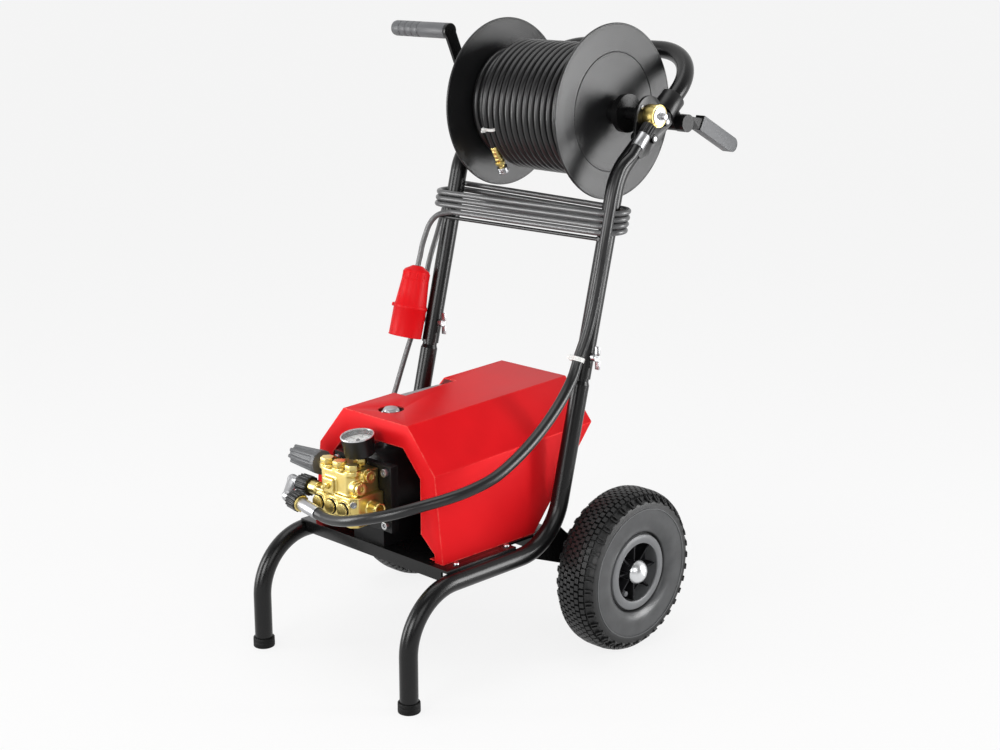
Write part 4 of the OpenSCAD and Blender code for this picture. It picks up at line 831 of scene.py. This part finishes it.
def flange():
    """Satin coat over a spun sheet: fine rings round the reel's axis."""
    finish = Finish("flange_paint")
    radius = finish.from_axle(at(0, REEL_Y_MM, REEL_Z_MM))
    rings = finish.node("ShaderNodeTexNoise", {"noise_dimensions": "1D"},
                        {"W": radius, "Scale": 900.0, "Detail": 2.0})
    slow = finish.grain(12, 3)
    edge_share = (finish.edges(0.001) * finish.grain(160, 3)).held()
    tone = finish.blend((0.006, 0.0062, 0.0066), (0.012, 0.0122, 0.013), (slow * 0.7 + rings * 0.3).held())
    shade = finish.node("ShaderNodeMix", {"data_type": "RGBA"}, {0: edge_share, 6: tone, 7: (0.09, 0.09, 0.094, 1)}, 2)
    finish.set({"Base Color": shade, "Roughness": 0.33 + (slow - 0.5) * 0.08 + (rings - 0.5) * 0.05,
                "Specular IOR Level": 0.5, "Normal": finish.bump(rings, 0.0004, 0.5)})
    finishes["flange_paint"] = finish


flange()

# %% [markdown]
# ### Metals
# The pump head and fittings are brass: cast faces are dull and a little brown, and edges and turned faces are
# bright. Steel parts are zinc plated, and the wheel caps are bright plated.

# %% Metals
def metal(name, bright, dull, rough, grain, depth, scratch=0.0, spread=0.14):
    """Bare metal: patchy tarnish, a cast or turned grain, and bright edges."""
    finish = Finish(name)
    patch, fine = finish.grain(38, 4), finish.grain(grain, 3)
    edge = finish.edges(0.0014)
    clean = ((patch * 1.8 - 0.5).held() * 0.75 + edge * 0.6).held()
    lines = finish.grain(90, 2, (1, 1, 22))
    finish.set({"Base Color": finish.blend(dull, bright, clean), "Metallic": 1.0,
                "Roughness": rough + (1 - clean) * spread + (lines - 0.5) * scratch,
                "Normal": finish.bump(fine, 0.0005, depth)})
    finishes[name] = finish


metal("brass", (0.85, 0.71, 0.29), (0.58, 0.44, 0.14), 0.22, 420, 0.2)
metal("steel", (0.54, 0.55, 0.56), (0.38, 0.38, 0.39), 0.28, 700, 0.12, 0.12)
metal("chrome", (0.82, 0.83, 0.84), (0.66, 0.67, 0.68), 0.22, 300, 0.03, 0.06, 0.1)
metal("iron", (0.34, 0.20, 0.10), (0.12, 0.08, 0.05), 0.45, 500, 0.4)

# %% [markdown]
# ### Plastics and rubbers
# Moulded plastic has a fine spark-eroded grain and paler edges, and on the rim's dark middle the very pale
# edges are a painted highlight; rubber is duller, with a faint bloom of dust, and on the tyres the paler walls
# are partly a painted sheen. Hose rubber shows the print of the cloth that it was cured in.

# %% Plastics
def moulded(name, colour, rough, grain=1500, depth=0.12, pale=1.6, gloss=0.4):
    """Moulded plastic: fine grain, faint flow marks and slightly paler edges, which a large pale makes a
    painted highlight.
    """
    finish = Finish(name)
    flow, fine = finish.grain(26, 3, (1, 1, 0.4)), finish.grain(grain, 2)
    light = [min(1, c * pale + 0.01) for c in colour]
    edge = finish.edges(0.001) * 0.55
    tone = ((flow - 0.35) * 0.45 + edge).held()
    finish.set({"Base Color": finish.blend(colour, light, tone),
                "Roughness": rough + (flow - 0.5) * 0.12 - edge * 0.1, "Specular IOR Level": gloss,
                "Normal": finish.bump(fine, 0.0003, depth)})
    finishes[name] = finish


moulded("black_plastic", (0.004, 0.004, 0.0044), 0.34, gloss=0.35)
moulded("grey_plastic", (0.115, 0.118, 0.124), 0.42)
# painted shade and highlight: near black for the rim's recess, with very pale rib edges
moulded("rim_black", (0.003, 0.003, 0.0033), 0.5, pale=40, gloss=0.1)
moulded("rim_grey", (0.165, 0.169, 0.175), 0.4)
moulded("light_plastic", (0.33, 0.335, 0.345), 0.45)
moulded("red_plastic", (0.76, 0.008, 0.012), 0.38, 1200, 0.05, 1.1, 0.08)
moulded("white_nylon", (0.78, 0.78, 0.76), 0.4, 900, 0.05, 1.1)
moulded("dial", (0.93, 0.93, 0.91), 0.5, 700, 0.02, 1.05)
moulded("dial_print", (0.015, 0.015, 0.016), 0.6, 900, 0.02)
moulded("ceramic", (0.80, 0.78, 0.72), 0.18, 600, 0.02, 1.1)

# %% Rubbers and glass
def rubber(name, colour, dust, rough, grain, depth, dusty, gloss=0.3):
    """Rubber: matt grain and a thin bloom that gathers in patches."""
    finish = Finish(name)
    patch, fine = finish.grain(30, 4), finish.grain(grain, 3)
    pale_share = ((patch * 1.7 - 0.45).held() * dusty).held()
    finish.set({"Base Color": finish.blend(colour, dust, pale_share),
                "Roughness": rough + pale_share * 0.2 + (fine - 0.5) * 0.1, "Specular IOR Level": gloss,
                "Normal": finish.bump(fine, 0.0004, depth)})
    finishes[name] = finish


rubber("hose_rubber", (0.0035, 0.0035, 0.004), (0.018, 0.018, 0.019), 0.28, 900, 0.2, 0.3, 0.45)
rubber("lead_rubber", (0.065, 0.066, 0.068), (0.13, 0.131, 0.134), 0.3, 1100, 0.2, 0.5, 0.75)
rubber("black_rubber", (0.004, 0.004, 0.004), (0.02, 0.02, 0.02), 0.5, 700, 0.3, 0.4, 0.14)


def tyre_rubber():
    """Dark tread, walls paler with dust and a painted sheen, a black seat beside the rim that is painted shade,
    and a pale line on the raised ring that is a painted highlight, by the distance from the axle.
    """
    finish = Finish("tyre")
    radius = finish.from_axle(at(0, 0, WHEEL_R_MM))
    # painted sheen and dust: the walls are paler; below 64.5 mm from the axle they stay black, a painted shade
    # in the seat beside the rim
    wall = ((radius - 0.0645) * 900).held() * ((0.108 - radius) * 110).held()
    patch, fine = finish.grain(34, 4), finish.grain(620, 3)
    # painted highlight: a pale line along the raised ring
    off_ring_highlight = (radius - 0.1032) * 900
    line = (1 - off_ring_highlight * off_ring_highlight).held()
    pale_share = (wall * (0.55 + (patch - 0.5) * 0.7) + line * 0.8).held()
    finish.set({"Base Color": finish.blend((0.004, 0.0042, 0.0046), (0.11, 0.113, 0.117), pale_share),
                "Roughness": 0.5 - wall * 0.2 + (fine - 0.5) * 0.1, "Specular IOR Level": 0.45,
                "Normal": finish.bump(fine, 0.0004, 0.3)})
    finishes["tyre"] = finish


tyre_rubber()

# the lens is a thin white film whose opacity follows smears; its white haze over the dial is partly smears and
# partly a painted sheen
lens = Finish("lens")
smear_and_sheen = lens.grain(60, 3)
lens.set({"Base Color": (0.95, 0.97, 0.97, 1), "Roughness": (smear_and_sheen - 0.35).held() * 0.06 + 0.03,
          "Alpha": (smear_and_sheen - 0.4).held() * 0.3 + 0.1})
finishes["lens"] = lens
print(len(finishes), "finishes")

# %% [markdown]
# ## Putting the finishes on
# Every piece, new or from the CAD model, names a finish, so one loop dresses all of them. Two pieces are of
# more than one material: the brake lever has a grey paddle on a black arm, and the paddle's upward faces keep
# the pale finish as a painted highlight; the bolts at the bearings are black with bright steel middles, which
# are a painted highlight on their heads. Their faces are picked by where they lie and where they look.

# %% Dress every piece
for row in frame["record"]["subparts"]:
    nodes[row["node"]]["dress"] = row["material_slot"]
nodes["reel_spindle"]["dress"] = "frame_paint"
for thing in bpy.data.objects:
    name = thing.get("dress")
    if name:
        thing.data.materials.clear()
        thing.data.materials.append(finishes[name].owner)


def second_finish(thing, name, chosen):
    """Gives the faces that a rule picks, by their middle and normal, another finish."""
    thing.data.materials.append(finishes[name].owner)
    faces = [f for f in thing.data.polygons if chosen(f.center, f.normal)]
    for face in faces:
        face.material_index = len(thing.data.materials) - 1
    print(thing.name, len(faces), "faces in", name)


PADDLE_Y, PLATE_BOLTS_Z = at(0, 226, 0).y, at(0, 0, 700).z
BOLT_END_M2, BOLT_RIM_M = 5e-5, 0.0032
# the paddle's faces that look up keep the pale finish, a painted highlight; its other faces turn grey
second_finish(soft["brake_lever"], "grey_plastic", lambda middle, way: way.z < 0.3)
second_finish(soft["brake_lever"], "black_plastic", lambda middle, way: middle.y < PADDLE_Y)
# the bolts' end faces are inset, and their middles keep the bright steel finish as a painted highlight on the
# black heads
bolts = bmesh.new()
bolts.from_mesh(soft["fasteners"].data)
ends = [f for f in bolts.faces if f.calc_center_median().z > PLATE_BOLTS_Z and abs(f.normal.x) > 0.9
        and f.calc_area() > BOLT_END_M2]
bmesh.ops.inset_individual(bolts, faces=ends, thickness=BOLT_RIM_M)
painted_highlight_tips = {tuple(round(c, 5) for c in f.calc_center_median()) for f in ends}
bolts.to_mesh(soft["fasteners"].data)
bolts.free()
second_finish(soft["fasteners"], "frame_paint", lambda middle, way: middle.z > PLATE_BOLTS_Z
              and tuple(round(c, 5) for c in middle) not in painted_highlight_tips)

# %% [markdown]
# ## Studio
# The photograph has a plain white ground and soft light from above and from both sides. The world is white
# where the camera looks and only a soft fill elsewhere. Mirrors see the white backdrop too, and behind the
# camera a darker room, which is what keeps the fronts of black tubes black and their edges bright. Three
# large cards are seen by reflections alone, and draw the soft bright lines on tubes and hose. The floor is
# pale and brightened for the camera, but keeps a soft shadow.

# %% Floor, world and lamps
FLOOR_HALF_M, FLOOR_GLOW, FILL, ROOM_DARK = 60, 0.84, 0.45, 0.85


def seen(tree):
    """Two switches: 1 for rays from the camera or a window, and 1 for rays from a mirror."""
    path = tree.tree.nodes.new("ShaderNodeLightPath")
    rays = [Value(tree, path.outputs[f"Is {kind} Ray"]) for kind in ("Camera", "Transmission", "Glossy")]
    return (rays[0] + rays[1]).held(), rays[2]


floor_mesh = bmesh.new()
bmesh.ops.create_grid(floor_mesh, x_segments=1, y_segments=1, size=FLOOR_HALF_M)
floor_data = bpy.data.meshes.new("floor")
floor_mesh.to_mesh(floor_data)
floor_mesh.free()
floor = bpy.data.objects.new("floor", floor_data)
scene.collection.objects.link(floor)
ground = Finish("floor_white")
ground.set({"Base Color": (0.9, 0.9, 0.9, 1), "Roughness": 0.9})
glow = ground.node("ShaderNodeEmission", {}, {"Color": (1, 1, 1, 1), "Strength": 1.0})
straight_rays, mirrored_rays = seen(ground)
shown = (straight_rays + mirrored_rays).held() * FLOOR_GLOW
mixed = ground.node("ShaderNodeMixShader", {}, {0: shown, 2: glow})
ground.tree.links.new(ground.shader.outputs[0], mixed.socket.node.inputs[1])
ground.tree.links.new(mixed.socket, ground.output.inputs[0])
floor_data.materials.append(ground.owner)

scene.world = bpy.data.worlds.new("studio")
sky = Tree(scene.world)
to_camera = (camera.location - at(0, 0, 400)).normalized()
facing = sky.node("ShaderNodeVectorMath", {"operation": "DOT_PRODUCT"}, {0: sky.where, 1: to_camera}, "Value")
room = 1 - (facing * 1.1 + 0.2).held() * ROOM_DARK
straight_rays, mirrored_rays = seen(sky)
strength = FILL + straight_rays * (1 - FILL) + mirrored_rays * (room - FILL)
background = sky.node("ShaderNodeBackground", {}, {"Color": (1, 1, 1, 1), "Strength": strength})
sky.tree.links.new(background.socket, sky.tree.nodes.new("ShaderNodeOutputWorld").inputs[0])


def lamp(name, point_mm, aim_mm, size_m, watts):
    """A flat soft lamp that looks at a point."""
    data = bpy.data.lights.new(name, "AREA")
    data.shape = "RECTANGLE"
    data.size, data.size_y = size_m
    data.energy = watts
    made = bpy.data.objects.new(name, data)
    made.location = at(*point_mm)
    made.rotation_euler = (at(*aim_mm) - made.location).to_track_quat("-Z", "Y").to_euler()
    made.visible_camera = False
    scene.collection.objects.link(made)
    return made


lamp("overhead", (-200, -300, 2500), (0, 0, 400), (1.4, 1.4), 13)
lamp("left_front", (-1500, -2000, 650), (0, 0, 450), (0.45, 1.6), 12)
lamp("right_back", (2000, 1300, 550), (0, 0, 400), (0.45, 1.5), 20)
lamp("front", (350, -2600, 900), (0, 0, 350), (0.8, 1.3), 13)
lamp("camera_side", (1900, -1300, 1300), (0, 0, 350), (1.2, 1.2), 13)
for card in (lamp("left_card", (-1700, -1900, 800), (0, 0, 350), (1.0, 1.5), 34),
             lamp("right_card", (2000, 1500, 700), (0, 0, 350), (1.1, 1.5), 34),
             lamp("front_card", (500, -2700, 1300), (0, 0, 200), (1.2, 0.9), 26)):
    card.visible_diffuse = False
scene.view_settings.view_transform = "Standard"
print("studio lit")
